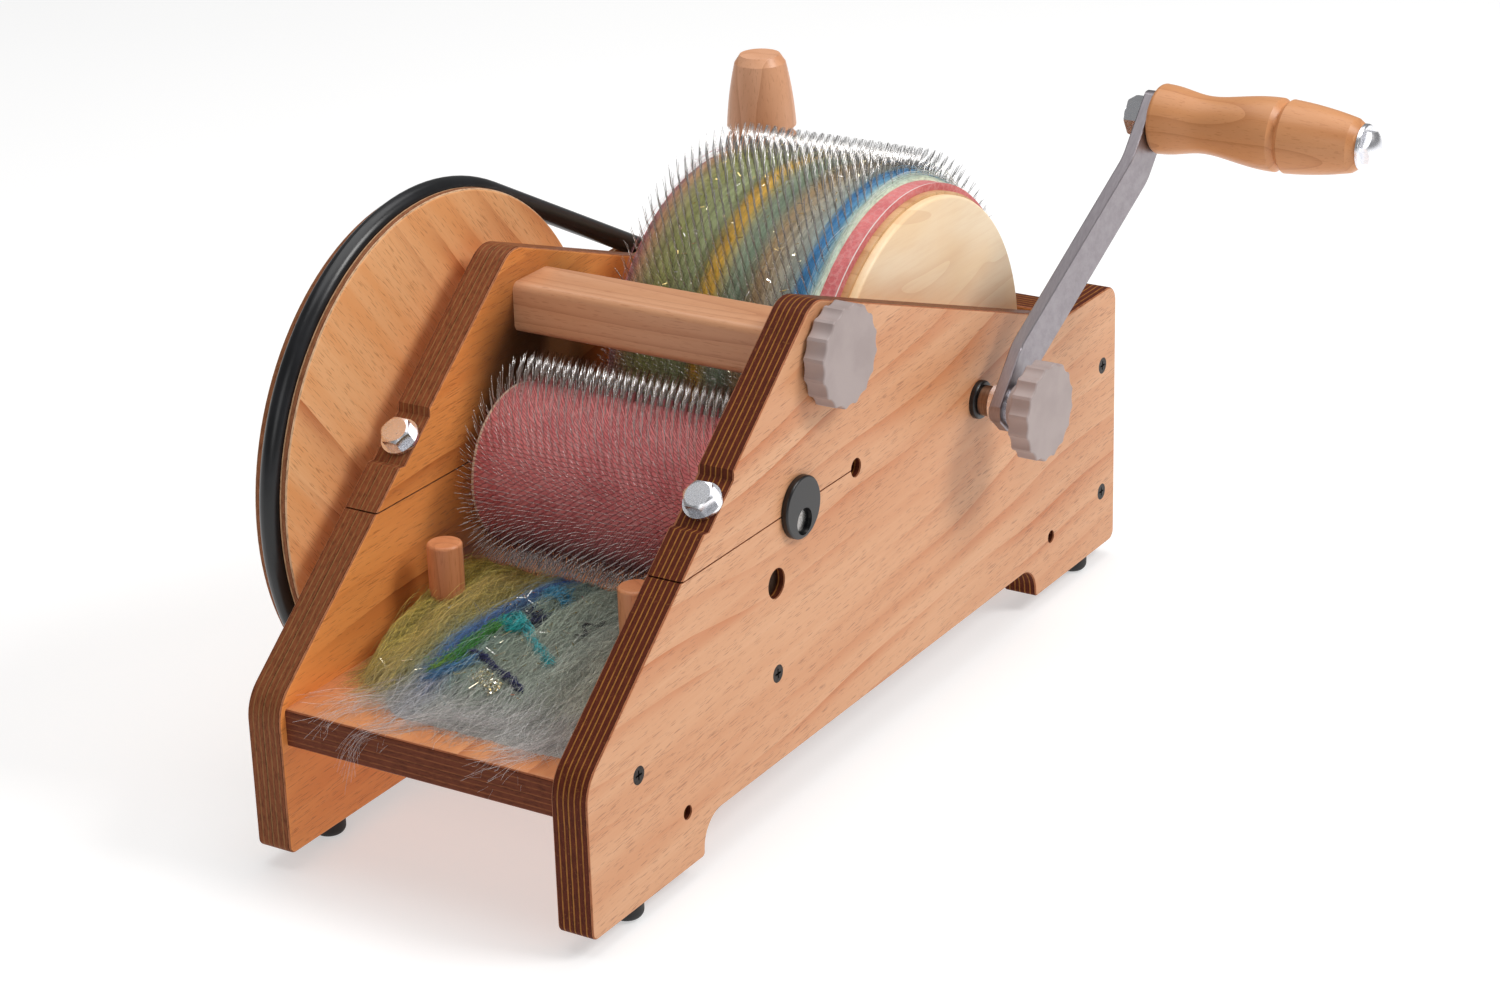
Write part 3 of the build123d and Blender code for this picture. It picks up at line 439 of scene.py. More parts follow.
# Colours: pale, mid, dark, pore of a face; then face, brown, gold and glue of an edge.
OUTER_FACE = ((220, 168, 128), (210, 150, 108), (194, 112, 60), (140, 84, 54))
# Inward faces: partly a warmer veneer tone, partly painted warm light bounced between the panels, which makes them more
# orange.
INNER_FACE_WITH_BOUNCE = ((242, 160, 88), (228, 140, 70), (176, 88, 36), (160, 84, 40))
EDGE = ((170, 108, 76), (94, 44, 30), (162, 108, 54), (40, 18, 13))
LEFT_EDGE = ((172, 112, 78), (134, 78, 50), (146, 104, 66), (26, 14, 10))
WHEEL_FACE = ((248, 190, 136), (240, 168, 108), (184, 94, 42), (176, 104, 56))
WHEEL_EDGE = ((216, 176, 140), (150, 96, 66), (200, 162, 124), (84, 46, 32))
TRAY_FACE = ((214, 148, 100), (200, 128, 80), (158, 84, 42), (144, 84, 50))
TRAY_EDGE = ((150, 88, 60), (108, 58, 40), (132, 78, 50), (62, 30, 22))


def all_finishes():
    """Material of every CAD node that stays visible, by node name."""
    wheel_low, wheel_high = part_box("drive_wheel")
    tray_low, tray_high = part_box("feed_tray")
    rear_low, rear_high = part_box("rear_board")
    pulley_low, pulley_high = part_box("drive_pulley")
    cloth_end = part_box("drum_card_cloth")[1].x
    licker_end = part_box("licker_card_cloth")[0].x
    found = {
        "side_panel_right": plywood("plywood right side", 0, right_low.x, right_high.x, OUTER_FACE, EDGE,
                                    turn=(math.radians(-4), 0, 0), seed=2, two_sided=INNER_FACE_WITH_BOUNCE),
        "side_panel_left": plywood("plywood left side", 0, left_low.x, left_high.x, INNER_FACE_WITH_BOUNCE, LEFT_EDGE,
                                   turn=(math.radians(-3), 0, 0), seed=9, two_sided=OUTER_FACE),
        "drive_wheel": plywood("plywood drive wheel", 0, wheel_low.x, wheel_high.x, WHEEL_FACE, WHEEL_EDGE,
                               turn=(math.radians(50), 0, 0), seed=5),
        "drive_pulley": plywood("plywood pulley", 0, pulley_low.x, pulley_high.x, WHEEL_FACE, WHEEL_EDGE, seed=7),
        "feed_tray": plywood("plywood feed tray", 2, tray_low.z, tray_high.z, TRAY_FACE, TRAY_EDGE,
                             turn=(0, math.radians(90), 0), seed=11),
        "rear_board": plywood("plywood rear board", 1, rear_low.y, rear_high.y, INNER_FACE_WITH_BOUNCE, EDGE,
                              turn=(0, 0, math.radians(90)), seed=13),
        "tie_bar": solid_wood("planed beech", 0, (212, 158, 120), (198, 140, 100), (168, 106, 70), seed=3),
        "crank_grip": solid_wood("turned beech grip", 0, (218, 158, 112), (206, 144, 96), (174, 110, 64), seed=6),
        "awl_handle": solid_wood("turned beech awl handle", 2, (234, 178, 142), (224, 164, 124), (190, 128, 88), seed=8),
        "guide_peg_left": solid_wood("turned beech peg", 2, (216, 150, 106), (198, 126, 82), (164, 96, 60), seed=4),
        "drum_end_disc_right": pine_disc("pine disc", 1.0),
        "drum_core": solid_wood("drum wood", 0, (222, 186, 140), (204, 160, 112), (170, 120, 76), seed=12),
        "drum_card_cloth": cloth_finish("drum card cloth", cloth_end - 0.0006, cloth_end - 0.00004, (232, 222, 216)),
        "licker_card_cloth": cloth_finish("roller card cloth", licker_end - 0.001, licker_end + 0.0012,
                                          (206, 182, 156)),
        "drum_bush_right": moulded("black nylon", (11, 11, 13), (19, 19, 22), 0.26),
        "drum_collars": moulded("natural nylon", (214, 212, 204), (198, 194, 186), 0.4),
        "drum_shaft": metal("turned bright steel", (190, 188, 186), (150, 146, 142), 0.22, (40, 900, 900)),
        "clamp_bolt_right": metal("bright zinc plate", (250, 250, 254), (236, 238, 244), 0.24, (300, 300, 300), 0.06, 0.05),
        "crank_arm": metal("satin steel bar", (160, 154, 158), (148, 141, 146), 0.36, (900, 160, 160), 0.06, 0.08),
        "barrel_nut_left": metal("dark barrel nut", (104, 84, 70), (70, 54, 46), 0.42, (300, 300, 300)),
        # the sleeve's brown tone is a painted reflection of the surrounding wood on the steel
        "crank_sleeve": metal("steel sleeve with painted wood reflection", (150, 128, 112), (112, 92, 80), 0.28, (900, 60, 60)),
        "crank_knob": moulded("warm grey knob plastic", (166, 151, 148), (157, 142, 139), 0.36),
        "tray_screws": metal("black screw steel", (62, 58, 56), (34, 32, 32), 0.35, (600, 600, 600)),
        "rubber_feet": moulded("black foot rubber", (24, 24, 25), (38, 38, 39), 0.55),
        "drive_belt": moulded("black belt rubber", (14, 15, 18), (24, 25, 29), 0.24, grain=900.0, height=0.00003),
        "crank_knob_insert": metal("turned brass", (214, 178, 108), (180, 140, 74), 0.25, (60, 900, 900)),
    }
    same = {
        "guide_peg_left": ("guide_peg_right",), "drum_end_disc_right": ("drum_end_disc_left",),
        "drum_core": ("licker_core",), "barrel_nut_left": ("barrel_nut_right",),
        "drum_bush_right": ("drum_bush_left", "gap_bush_left", "gap_bush_right"),
        "drum_collars": ("licker_collars",),
        "drum_shaft": ("licker_shaft", "wheel_spacer", "pulley_spacer", "awl_blade"),
        "clamp_bolt_right": ("clamp_bolt_left", "grip_bolt", "grip_nut",
                             "arm_washers", "wheel_nut", "wheel_washer", "pulley_nut", "pulley_washer",
                             "tie_bar_stud"),
        "crank_knob": ("tie_bar_knob",), "tray_screws": ("rear_board_screws", "tie_bar_screw"),
        "crank_knob_insert": ("tie_bar_insert", "awl_ferrule"),
    }
    for source, others in same.items():
        for other in others:
            found[other] = found[source]
    return found


# ---- rollers' wire teeth ---------------------------------------------------------------------------
def wire_teeth(name, body, axle, cloth_r, tip_r, x0, x1, pitch, row_step, lean, node, material, wire=0.00019):
    """Bent wires of one roller.  Rows run round the roller, each shifted 0.27 of the pitch along it.  Every
    wire starts in the cloth, leans back to its knee at 0.38 of its height and forward to its tip by the two
    lengths in lean; across = radius x angle."""
    rows = round(2 * math.pi * cloth_r / row_step)
    columns = int((x1 - x0) / pitch)
    row, column = np.meshgrid(np.arange(rows), np.arange(columns), indexing="ij")
    x = x0 + (column + (row * 0.27) % 1.0 + 0.05) * pitch
    turn = 2 * math.pi * row / rows
    x, turn = x.ravel(), turn.ravel()
    count = len(x)
    x = x + rng.normal(0, 0.00022, count)
    height = np.array([-0.0008, 0.0050, 0.0064, tip_r - cloth_r])
    bend = np.array([0.0, lean[0], lean[0] * 0.85, lean[1]])
    bend = bend[None, :] + rng.normal(0, 1, (count, 1)) * np.array([0, 0.00015, 0.00015, 0.0005])
    radius = cloth_r + height
    angle = turn[:, None] + bend / radius
    sway = x[:, None] + rng.normal(0, 1, (count, 1)) * np.array([0, 0.0001, 0.0001, 0.0004])
    paths = np.stack([sway, axle[1] + radius * np.cos(angle), axle[2] + radius * np.sin(angle)], axis=-1)
    radii = np.array([wire, wire, wire * 0.95, wire * 0.45])
    verts, faces = tubes(paths, radii, 3)
    made = piece(name, verts, faces, body, material)
    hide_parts(node)
    return made


# ---- wool on the drum ------------------------------------------------------------------------------
DRUM_BANDS = (  # millimetres from the middle, screen colour
    (46.5, (190, 202, 176)), (43, (170, 190, 176)), (41, (84, 136, 166)), (38, (48, 112, 158)),
    (35, (40, 112, 164)), (33, (134, 150, 146)), (27, (168, 166, 152)), (21, (158, 142, 116)),
    (15, (158, 130, 92)), (10, (138, 134, 108)), (4, (126, 146, 122)), (-3, (150, 160, 132)),
    (-7, (168, 152, 92)), (-9, (206, 160, 48)), (-12, (196, 152, 44)), (-15, (122, 126, 84)),
    (-21, (150, 160, 112)), (-28, (134, 138, 90)), (-36, (146, 148, 84)), (-44, (148, 140, 92)),
    (-50, (168, 126, 92)), (-54, (160, 104, 96)), (-58, (150, 96, 100)))


def drum_colour(x_mm, along, seed=5):
    """Band colour at a place on the drum; the borders wander slowly round it and the tone varies."""
    wander = (soft_noise(along * 6, x_mm * 0.05 + 20, seed) - 0.5) * 5
    wander = wander + (soft_noise(along * 30, x_mm * 0.2 + 40, seed + 1) - 0.5) * 2
    colour = colour_along(DRUM_BANDS, x_mm + wander)
    tone = 1.05 + 0.6 * soft_noise(along * 9, x_mm * 1.1 + 60, seed + 2)
    return colour * tone[..., None]


def drum_wool(material, low, high, cloth_r):
    """Fleece on the drum: a closed ring whose outside is r = cloth + 2.6 mm + two noises, thinning out to
    the cloth at both ends."""
    around, wide = 480, 90
    u = np.arange(around) / around
    v = np.linspace(0, 1, wide)
    uu, vv = np.meshgrid(u, v, indexing="ij")
    x = low + (high - low) * vv
    ridge = soft_noise(uu * 97 * 0.5 % 97, vv * 60, 8) + 0.7 * soft_noise(uu * 97 % 97, vv * 90, 9)
    ends = np.clip(np.minimum(vv, 1 - vv) / 0.05, 0, 1) ** 0.6
    r = cloth_r + 0.00015 + ends * (0.0018 + 0.0016 * ridge)
    angle = 2 * math.pi * uu
    outer = np.stack([x, DRUM_AXLE[1] + r * np.cos(angle), DRUM_AXLE[2] + r * np.sin(angle)], axis=-1)
    inner_r = cloth_r - 0.0002
    inner = np.stack([x, DRUM_AXLE[1] + inner_r * np.cos(angle), DRUM_AXLE[2] + inner_r * np.sin(angle)],
                     axis=-1)[:, [-1, 0]]
    ring = np.concatenate([outer, inner], axis=1)
    n, k = ring.shape[:2]
    index = np.arange(n * k).reshape(n, k)
    a, b = index, np.roll(index, -1, 0)
    quads = np.stack([a, np.roll(a, -1, 1), np.roll(b, -1, 1), b], axis=-1).reshape(-1, 4)[:, ::-1]
    tint = drum_colour((ring[..., 0] - CORNER[0]) / MM, np.broadcast_to(u[:, None], (n, k))).reshape(-1, 3)
    made = piece("drum_wool", ring.reshape(-1, 3), [quads], "drum", material, tint=tint)
    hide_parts("drum_fibre")
    return made


def drum_hairs(name, material, low, high, cloth_r, count, rise, seed):
    """Loose fibres round the drum: arcs of 25 to 80 mm with a slow sideways wave, that start in the fleece
    and lift up to `rise` out of it."""
    draw = np.random.default_rng(seed)
    k = 9
    t = np.linspace(0, 1, k)[None, :]
    x0 = draw.uniform(low, high, (count, 1))
    start = draw.uniform(0, 2 * math.pi, (count, 1))
    span = draw.uniform(0.025, 0.08, (count, 1)) / cloth_r
    wave = draw.uniform(0.0003, 0.0022, (count, 1)) * np.sin(draw.uniform(0, 6.3, (count, 1)) + t * draw.uniform(2, 9, (count, 1)))
    slope = draw.normal(0, 0.0022, (count, 1)) * (t - 0.5)
    x = np.clip(x0 + wave + slope, low - 0.0008, high + 0.0008)
    lift = draw.random((count, 1)) ** 2 * rise * np.sin(math.pi * t ** 0.8)
    r = cloth_r + 0.0022 + draw.uniform(0, 0.0016, (count, 1)) + lift
    angle = start + span * t
    paths = np.stack([x, DRUM_AXLE[1] + r * np.cos(angle), DRUM_AXLE[2] + r * np.sin(angle)], axis=-1)
    tint = drum_colour((x0[:, 0] - CORNER[0]) / MM, start[:, 0] / (2 * math.pi))
    tint = tint * draw.uniform(0.6, 1.9, (count, 1))
    radii = draw.uniform(0.00005, 0.00010, (count, 1)) * (1 - 0.5 * t)
    return strands(name, paths, radii, np.clip(tint, 0, 1), "drum", material)


def flakes(name, centres, lengths, widths, colours, body, material, seed):
    """Thin film strips, each a closed flat six-sided box turned its own way: length, width and a thickness
    of 0.04 mm on three random directions at right angles."""
    draw = np.random.default_rng(seed)
    n = len(centres)
    along = unit(draw.normal(0, 1, (n, 3)) * [1, 1, 0.5])
    across = unit(np.cross(along, unit(draw.normal(0, 1, (n, 3)))))
    out = np.cross(along, across)
    signs = np.array([[sx, sy, sz] for sx in (-1, 1) for sy in (-1, 1) for sz in (-1, 1)]) * 0.5
    size = np.stack([lengths, widths, np.full(n, 0.00004)], axis=-1)
    corners = centres[:, None, :] + sum(
        signs[None, :, i:i + 1] * size[:, None, i:i + 1] * d[:, None, :] for i, d in enumerate((along, across, out)))
    box = np.array([[0, 1, 3, 2], [4, 6, 7, 5], [0, 4, 5, 1], [2, 3, 7, 6], [0, 2, 6, 4], [1, 5, 7, 3]])
    faces = (np.arange(n)[:, None, None] * 8 + box[None]).reshape(-1, 4)
    tint = np.repeat(colours, 8, axis=0)
    return piece(name, corners.reshape(-1, 3), [faces], body, material, tint=tint, smooth=False)


def drum_glitter(material, low, high, cloth_r):
    """Glitter carded in with the wool, thicker in the grey, ochre and pale bands."""
    draw = np.random.default_rng(77)
    n = 1900
    centre = draw.choice([0.024, 0.014, -0.001, -0.018, -0.030], n) + draw.normal(0, 0.006, n)
    x = np.clip(CORNER[0] + centre, low, high)
    angle = draw.uniform(0, 2 * math.pi, n)
    r = cloth_r + draw.uniform(0.0042, 0.0085, n)
    centres = np.stack([x, DRUM_AXLE[1] + r * np.cos(angle), DRUM_AXLE[2] + r * np.sin(angle)], axis=-1)
    gold = linear([[255, 246, 214], [252, 252, 250], [250, 222, 150]])[draw.integers(0, 3, n)]
    return flakes("drum_glitter", centres, draw.uniform(0.0008, 0.0034, n), draw.uniform(0.00025, 0.00055, n), gold,
                  "drum", material, 78)


# ---- wool on the tray ------------------------------------------------------------------------------
TRAY_BANDS = (  # millimetres to the right of the blue streak, screen colour
    (-62, (190, 160, 62)), (-48, (206, 180, 76)), (-34, (198, 180, 78)), (-24, (214, 186, 96)),
    (-14, (196, 178, 96)), (-9, (170, 174, 130)), (-4.5, (84, 140, 194)), (0, (30, 96, 184)),
    (4, (74, 132, 176)), (8, (156, 182, 170)), (22, (176, 190, 172)), (48, (190, 200, 186)), (70, (196, 198, 180)))
TRAY_TOP = 69.0
WIRE_TIP = 52.1                # radius of the small roller's wire tips


def streak_x(y):
    """Middle of the blue streak, mm, at each y."""
    return np.interp(y, (20, 48, 81, 118, 150), (-24, -22, -17, -4.5, 4))


def tray_colour(x, y):
    """Colour of the tray's wool: bands beside the blue streak, going white towards the front, and darker towards the
    back with painted shade under the small roller.
    """
    wander = (soft_noise(x * 0.08 + 10, y * 0.03 + 10, 31) - 0.5) * 8
    colour = colour_along(TRAY_BANDS, x - streak_x(y) + wander)
    white = np.clip((50 - y) / 12, 0, 1)[..., None] * 0.85
    white = np.where((x - streak_x(y) < -14)[..., None], white * 0.25, white)
    tone = 0.80 + 0.40 * soft_noise(x * 0.5 + 5, y * 0.12 + 5, 33)
    # painted shade: the wool darkens by up to 0.55 from y 126 to 148 mm, where the small roller shadows it
    shade = 1.0 - 0.55 * np.clip((y - 126) / 22, 0, 1)
    return (colour * (1 - white) + linear((214, 212, 208)) * white) * (tone * shade)[..., None]


def under_roller(y, clearance):
    """Highest place above the tray, mm, that stays clear of the wires' tips: z = axle - sqrt(r^2 - dy^2)."""
    axle_y, axle_z = (LICKER_AXLE[1:] - CORNER[1:]) / MM
    r = WIRE_TIP + clearance
    dy = np.minimum(np.abs(np.asarray(y, float) - axle_y), r)
    return axle_z - np.sqrt(r ** 2 - dy ** 2) - TRAY_TOP + np.where(dy >= r, 99.0, 0.0)


def tray_height(x, y):
    """Top of the wool above the tray, mm: rises slowly towards the roller, falls to nothing at the left,
    right and front borders, with soft folds along the streak."""
    rise = np.interp(y, [16, 26, 40, 52, 70, 90, 110, 126, 140, 152], [0, 0.6, 2.2, 8, 14, 20, 24, 24, 13, 4])
    left = np.interp(y, [16, 34, 42, 56, 66], [-26, -40, -57, -63, -66])
    side = np.clip((x - left) / 13, 0, 1) * np.clip((67 - x) / 9, 0, 1)
    fold = 0.85 + 0.3 * soft_noise((x - streak_x(y)) * 0.16 + 9, y * 0.03 + 3, 35)
    fuzz = soft_noise(x * 0.8 + 7, y * 0.5 + 2, 36) * 1.4
    heap = (rise * fold + fuzz * np.clip(rise / 5, 0, 1)) * (side * (2 - side)) ** 0.8
    return np.minimum(heap, under_roller(y, 3.2))


def tray_wool(material):
    """Closed heap: the height field on top and a flat sole just inside the tray's surface."""
    xs, ys = np.linspace(-64, 64, 150), np.linspace(18, 152, 160)
    xx, yy = np.meshgrid(xs, ys, indexing="ij")
    h = tray_height(xx, yy)
    top = at(np.stack([xx, yy, TRAY_TOP + h - 0.35], axis=-1))
    sole = at(np.stack([xx, yy, np.full_like(xx, TRAY_TOP - 0.5)], axis=-1))
    n, k = xx.shape
    index = np.arange(n * k).reshape(n, k)
    quads = np.stack([index[:-1, :-1], index[1:, :-1], index[1:, 1:], index[:-1, 1:]], axis=-1).reshape(-1, 4)
    rim = np.concatenate([index[:, 0], index[-1, 1:], index[-2::-1, -1], index[0, -2:0:-1]])
    wall = np.stack([rim, np.roll(rim, -1), np.roll(rim, -1) + n * k, rim + n * k], axis=-1)[:, ::-1]
    verts = np.concatenate([top.reshape(-1, 3), sole.reshape(-1, 3)])
    tint = np.clip(tray_colour(xx, yy).reshape(-1, 3) * 0.6, 0, 1)
    made = piece("tray_wool", verts, [quads, quads[:, ::-1] + n * k, wall], "frame", material,
                 tint=np.concatenate([tint, tint]))
    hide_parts("feed_fibre")
    return made


def tray_hairs(name, material, count, region, length, rise, seed, bright=1.0, thick=(0.05, 0.11)):
    """Fibres lying on the heap: each starts inside region (x0, x1, y0, y1), runs mostly along the streak and
    follows the heap's height plus its own low arch."""
    draw = np.random.default_rng(seed)
    k = 9
    t = np.linspace(-0.5, 0.5, k)[None, :]
    x0, x1, y0, y1 = region
    x = draw.uniform(x0, x1, (count, 1))
    y = draw.uniform(y0, y1, (count, 1))
    keep = (tray_height(x, y) > 0.25 + draw.random((count, 1)) * 1.5)[:, 0]
    x, y = x[keep], y[keep]
    n = len(x)
    heading = math.radians(78) + draw.normal(0, 0.32, (n, 1))
    size = draw.uniform(*length, (n, 1))
    bend = draw.normal(0, 0.9, (n, 1))
    px = x + size * t * np.cos(heading + bend * t)
    py = y + size * t * np.sin(heading + bend * t)
    px = np.clip(px + draw.normal(0, 0.5, (n, 1)) * np.sin(t * 9 + draw.uniform(0, 6, (n, 1))), -68.5, 68.5)
    arch = draw.random((n, 1)) ** 2 * rise * (1 - (2 * t) ** 2) + draw.uniform(0.0, 0.9, (n, 1))
    pz = TRAY_TOP + np.minimum(0.15 + np.maximum(tray_height(px, py), 0.0) + arch, under_roller(py, 2.0))
    tint = tray_colour(x[:, 0], y[:, 0]) * draw.uniform(0.5, 1.7, (n, 1)) * bright
    radii = draw.uniform(*thick, (n, 1)) * MM * (1 - 0.6 * np.abs(2 * t))
    return strands(name, at(np.stack([px, py, pz], axis=-1)), radii, np.clip(tint, 0, 1), "frame",
                   material)


def lock(points, fibres, spread, seed, curl=0.0, turns=0.0, flare=0.0, k=28):
    """Bundle of fibres along a smooth line through points (mm): each fibre keeps its own offset, scaled by
    spread and widened by flare towards both ends, and may coil round the line."""
    draw = np.random.default_rng(seed)
    line = through(points, k)
    t = np.linspace(0, 1, k)[None, :, None]
    offset = draw.normal(0, 1, (fibres, 1, 3)) * spread
    width = 1 + flare * (2 * t - 1) ** 2
    wave = draw.normal(0, 1, (fibres, 1, 3)) * spread * 0.6 * np.sin(t * draw.uniform(4, 12, (fibres, 1, 1)))
    phase = draw.uniform(0, 6.3, (fibres, 1, 1))
    coil = curl * np.concatenate([np.cos(phase + 6.283 * turns * t), np.sin(phase + 6.283 * turns * t),
                                  0.6 * np.sin(1 + phase + 6.283 * turns * t)], axis=-1)
    return line[None] + offset * width + wave + coil


def laid(points, lift=0.6):
    """Points (x, y) in mm on the wool's surface, lifted a little."""
    p = np.asarray(points, float)
    z = TRAY_TOP + tray_height(p[:, 0], p[:, 1]) + lift
    return np.column_stack([p, z])


def wool_locks(material):
    """Coloured locks and curls on the tray: (name, line, fibres, spread, curl, turns, flare, colour, thickness)."""
    table = (
        ("turquoise_curl", laid([(-4, 87), (4, 83), (11, 78), (18, 73), (24, 69)], 1.6), 110, 0.9, 0.7, 4, 0.3, (72, 206, 214), 0.16),
        ("turquoise_knot", laid([(-10, 84), (-5, 80), (-2, 84), (-6, 88), (-10, 83)], 1.8), 110, 1.0, 1.2, 5, 0.2, (20, 190, 190), 0.16),
        ("green_curl", laid([(-19, 57), (-16, 62), (-17, 67), (-14, 71), (-13, 76), (-9, 80)], 1.8), 120, 1.1, 1.6, 7, 0.6, (64, 160, 54), 0.16),
        ("green_tuft", laid([(-25, 50), (-22, 53), (-20, 58)], 1.2), 80, 1.1, 1.0, 3, 0.8, (120, 176, 50), 0.14),
        ("pale_blue_curl", laid([(-23, 46), (-18, 51), (-13, 55), (-9, 60)], 1.4), 100, 1.0, 0.7, 3, 0.6, (84, 150, 200), 0.14),
        ("navy_curl", laid([(-14, 62), (-9, 62), (-4, 61), (2, 59), (7, 57), (14, 54), (21, 51)], 1.9), 90, 0.6, 0.8, 9, 0.1, (20, 30, 92), 0.18),
        ("navy_tuft", laid([(-2, 93), (2, 90), (4, 94)], 1.6), 90, 1.3, 0.8, 3, 0.4, (22, 36, 84), 0.15),
        ("black_curl", laid([(24, 87), (28, 90), (25, 94), (30, 98), (30, 101)], 1.6), 20, 0.2, 0.6, 5, 0.5, (30, 36, 34), 0.16),
        ("blue_tuft", laid([(-2, 106), (2, 108), (7, 107)], 1.6), 100, 1.5, 1.0, 3, 0.4, (70, 168, 210), 0.15),
    )
    for i, (name, line, fibres, spread, curl, turns, flare, colour, thick) in enumerate(table):
        paths = lock(line, fibres, spread, 200 + i, curl, turns, flare)
        draw = np.random.default_rng(300 + i)
        tint = np.clip(linear(colour)[None] * draw.uniform(0.55, 1.35, (fibres, 1)), 0, 1)
        radii = draw.uniform(0.6, 1.1, (fibres, 1)) * thick * MM * np.ones((1, paths.shape[1]))
        strands(name, at(paths), radii, tint, "frame", material)


def white_wisps(material):
    """Thin white wisps over the tray's bare front, one of them hanging over its edge."""
    table = (
        ([(-24, 40, 73), (-38, 34, 72), (-48, 22, 71.5), (-50, 8, 70.5)], 34, 2.6, 1.6),
        ([(-20, 32, 71), (-32, 26, 72), (-42, 16, 71.5), (-45, 6, 70.2)], 30, 2.2, 1.8),
        ([(24, 34, 73), (4, 28, 72.5), (-14, 11, 71.5), (-26, 3, 68), (-32, 0.6, 60), (-34, -1, 50)], 26, 1.4, 1.8),
        ([(16, 24, 71.5), (2, 25, 72), (-12, 18, 71.4), (-22, 8, 70.6)], 40, 2.4, 1.4),
        ([(50, 44, 74), (50, 30, 72), (46, 17, 71), (38, 8, 70.3)], 60, 3.0, 1.6),
        ([(40, 38, 74), (30, 30, 72.5), (14, 24, 72), (0, 26, 72)], 60, 3.0, 1.2),
        ([(60, 36, 73), (54, 24, 71.6), (46, 12, 70.6), (40, 2, 70)], 30, 2.2, 1.4),
    )
    groups = [lock(line, fibres, spread, 400 + i, flare=flare) for i, (line, fibres, spread, flare) in enumerate(table)]
    paths = np.concatenate(groups)
    low = np.where((paths[..., 1] > 4.3), TRAY_TOP + 0.12, -1e3)
    paths[..., 2] = np.maximum(paths[..., 2], low)
    draw = np.random.default_rng(450)
    n = len(paths)
    tint = np.clip(linear((232, 226, 226))[None] * draw.uniform(0.7, 1.2, (n, 1)), 0, 1)
    radii = draw.uniform(0.022, 0.048, (n, 1)) * MM * np.ones((1, paths.shape[1]))
    return strands("white_wisps", at(paths), radii, tint, "frame", material)


def tray_glitter(material):
    """Film strips on the tray's wool, and a small woven patch of gold film."""
    draw = np.random.default_rng(91)
    n = 420
    y = draw.uniform(46, 110, n)
    x = streak_x(y) + draw.normal(10, 15, n)
    centres = at(np.stack([x, y, TRAY_TOP + tray_height(x, y) + draw.uniform(1.0, 2.6, n)], axis=-1))
    tones = linear([[252, 244, 214], [244, 244, 240], [240, 214, 140]])
    flakes("tray_glitter", centres, draw.uniform(0.0010, 0.0055, n), draw.uniform(0.00025, 0.00055, n),
           tones[draw.integers(0, 3, n)], "frame", material, 92)
    u, v = np.meshgrid(np.linspace(0, 1, 13), np.linspace(0, 1, 34), indexing="ij")
    corner, wide, long = np.array([-5.5, 51.5]), np.array([2.5, 6.5]), np.array([14.5, -6.5])
    flat = corner + u.reshape(-1, 1) * wide + v.reshape(-1, 1) * long + draw.normal(0, 0.12, (u.size, 2))
    z = TRAY_TOP + tray_height(flat[:, 0], flat[:, 1]) + 2.2 + draw.normal(0, 0.12, u.size)
    centres = at(np.column_stack([flat, z]))
    flakes("gold_film_patch", centres, np.full(u.size, 0.0010), np.full(u.size, 0.0006),
           tones[draw.integers(0, 3, u.size)], "frame", material, 93)


# ---- camera, light, floor --------------------------------------------------------------------------
def camera():
    """Camera on the crank side, in front and above; back = (sin a cos e, -cos a cos e, sin e)."""
    place = CORNER + np.array([0.84442, -1.06381, 0.73862])
    azimuth, elevation, roll = (math.radians(v) for v in (32.290, 22.578, 1.755))
    back = np.array([math.sin(azimuth) * math.cos(elevation), -math.cos(azimuth) * math.cos(elevation),
                     math.sin(elevation)])
    level = unit(np.cross(-back, [0, 0, 1]))
    down = np.cross(-back, level)
    right = math.cos(roll) * level + math.sin(roll) * down
    up = math.sin(roll) * level - math.cos(roll) * down
    data = bpy.data.cameras.new("camera")
    data.sensor_width = 36.0
    data.lens = 86.39
    data.shift_x, data.shift_y = -0.0013, -0.0009
    data.clip_start, data.clip_end = 0.05, 50.0
    made = bpy.data.objects.new("camera", data)
    bpy.context.scene.collection.objects.link(made)
    made.matrix_world = Matrix([(right[i], up[i], back[i], place[i]) for i in range(3)] + [(0, 0, 0, 1)])
    bpy.context.scene.camera = made


def lamp(name, place, size, watts, colour=(1, 1, 1), target=(0, 0, 0.1)):
    """Soft square lamp aimed at a target."""
    data = bpy.data.lights.new(name, "AREA")
    data.shape = "SQUARE"
    data.size, data.energy, data.color = size, watts, colour
    made = bpy.data.objects.new(name, data)
    bpy.context.scene.collection.objects.link(made)
    made.location = place
    aim = Vector(target) - Vector(place)
    made.rotation_euler = aim.to_track_quat("-Z", "Y").to_euler()


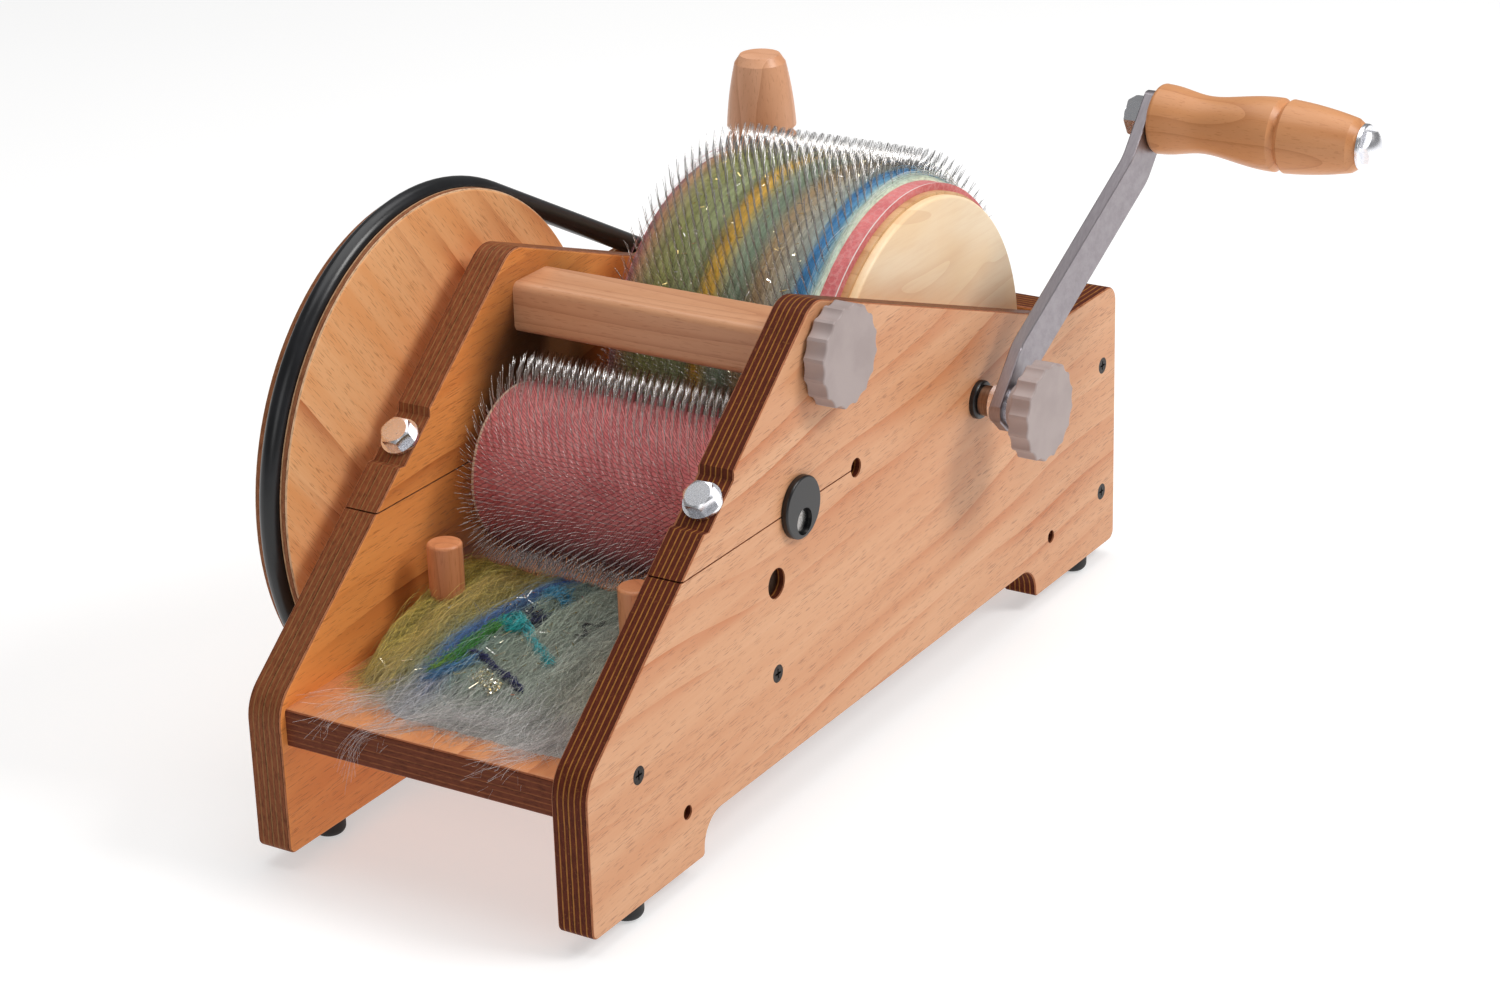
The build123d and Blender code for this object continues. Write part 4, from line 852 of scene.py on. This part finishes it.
def studio():
    """Pale floor, soft lamps and an even pale surround."""
    m = Finish("pale studio floor")
    cloud = m.noise(m.mapped(scale=(2, 2, 2)), detail=2.0)
    floor_paint = m.done(m.mix(cloud, rgba((206, 206, 206)), rgba((202, 202, 202))), rough=0.9,
                         Emission_Color=(1, 1, 1, 1), Emission_Strength=0.50)
    mesh = bpy.data.meshes.new("studio_floor")
    half = 12.0
    mesh.from_pydata([(-half, -half, 0), (half, -half, 0), (half, half, 0), (-half, half, 0)], [], [(0, 1, 2, 3)])
    floor = bpy.data.objects.new("studio_floor", mesh)
    floor.location.z = -0.0004
    mesh.materials.append(floor_paint)
    bpy.context.scene.collection.objects.link(floor)
    world = bpy.data.worlds.new("studio")
    bpy.context.scene.world = world
    world.use_nodes = True
    world.node_tree.nodes["Background"].inputs[0].default_value = (1.0, 1.0, 1.0, 1.0)
    world.node_tree.nodes["Background"].inputs[1].default_value = 0.20
    lamp("key", (1.5, 0.5, 1.7), 0.8, 26.0, (1.0, 0.985, 0.97))
    lamp("top", (-0.2, 0.3, 2.6), 2.6, 44.0)
    lamp("front", (0.5, -2.0, 1.1), 1.0, 5.0)
    bpy.context.scene.view_settings.view_transform = "Standard"


# ---- the whole object ------------------------------------------------------------------------------
def build():
    for node, material in all_finishes().items():
        made = frame["nodes"][node]
        made.data.materials.clear()
        made.data.materials.append(material)
    wire = wire_finish()
    drum_cloth_r = (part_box("drum_card_cloth")[1].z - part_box("drum_card_cloth")[0].z) / 2
    licker_cloth_r = (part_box("licker_card_cloth")[1].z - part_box("licker_card_cloth")[0].z) / 2
    drum_tip = (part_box("drum_teeth")[1].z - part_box("drum_teeth")[0].z) / 2
    licker_tip = (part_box("licker_teeth")[1].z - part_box("licker_teeth")[0].z) / 2
    wool_low, wool_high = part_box("drum_fibre")
    licker_low, licker_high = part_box("licker_card_cloth")
    wire_teeth("drum_wires", "drum", DRUM_AXLE, drum_cloth_r, drum_tip, wool_low.x + 0.0010, wool_high.x - 0.0008,
               0.0045, 0.0016, (0.0006, -0.0025), "drum_teeth", wire)
    wire_teeth("licker_wires", "licker_in", LICKER_AXLE, licker_cloth_r, licker_tip, licker_low.x + 0.0012,
               licker_high.x - 0.0010, 0.0040, 0.0018, (0.0009, -0.0030), "licker_teeth", wire)
    wool = wool_finish("carded wool")
    drum_wool(wool, wool_low.x, wool_high.x - 0.0010, drum_cloth_r)
    drum_hairs("drum_fibres_low", wool, wool_low.x, wool_high.x, drum_cloth_r, 3600, 0.0030, 51)
    drum_hairs("drum_fibres_high", wool, wool_low.x, wool_high.x, drum_cloth_r, 500, 0.0085, 52)
    film = glitter_finish()
    drum_glitter(film, wool_low.x, wool_high.x, drum_cloth_r)
    tray_wool(wool)
    for i in range(3):
        tray_hairs(f"tray_fibres_{i + 1}", wool, 3600, (-64, 66, 16, 140), (14, 44), 3.0, 60 + i)
    tray_hairs("tray_fibres_loose", wool, 1200, (-60, 64, 22, 130), (20, 50), 8.0, 70, 1.15, (0.04, 0.07))
    wool_locks(wool)
    white_wisps(wool)
    tray_glitter(film)


camera()
studio()
build()
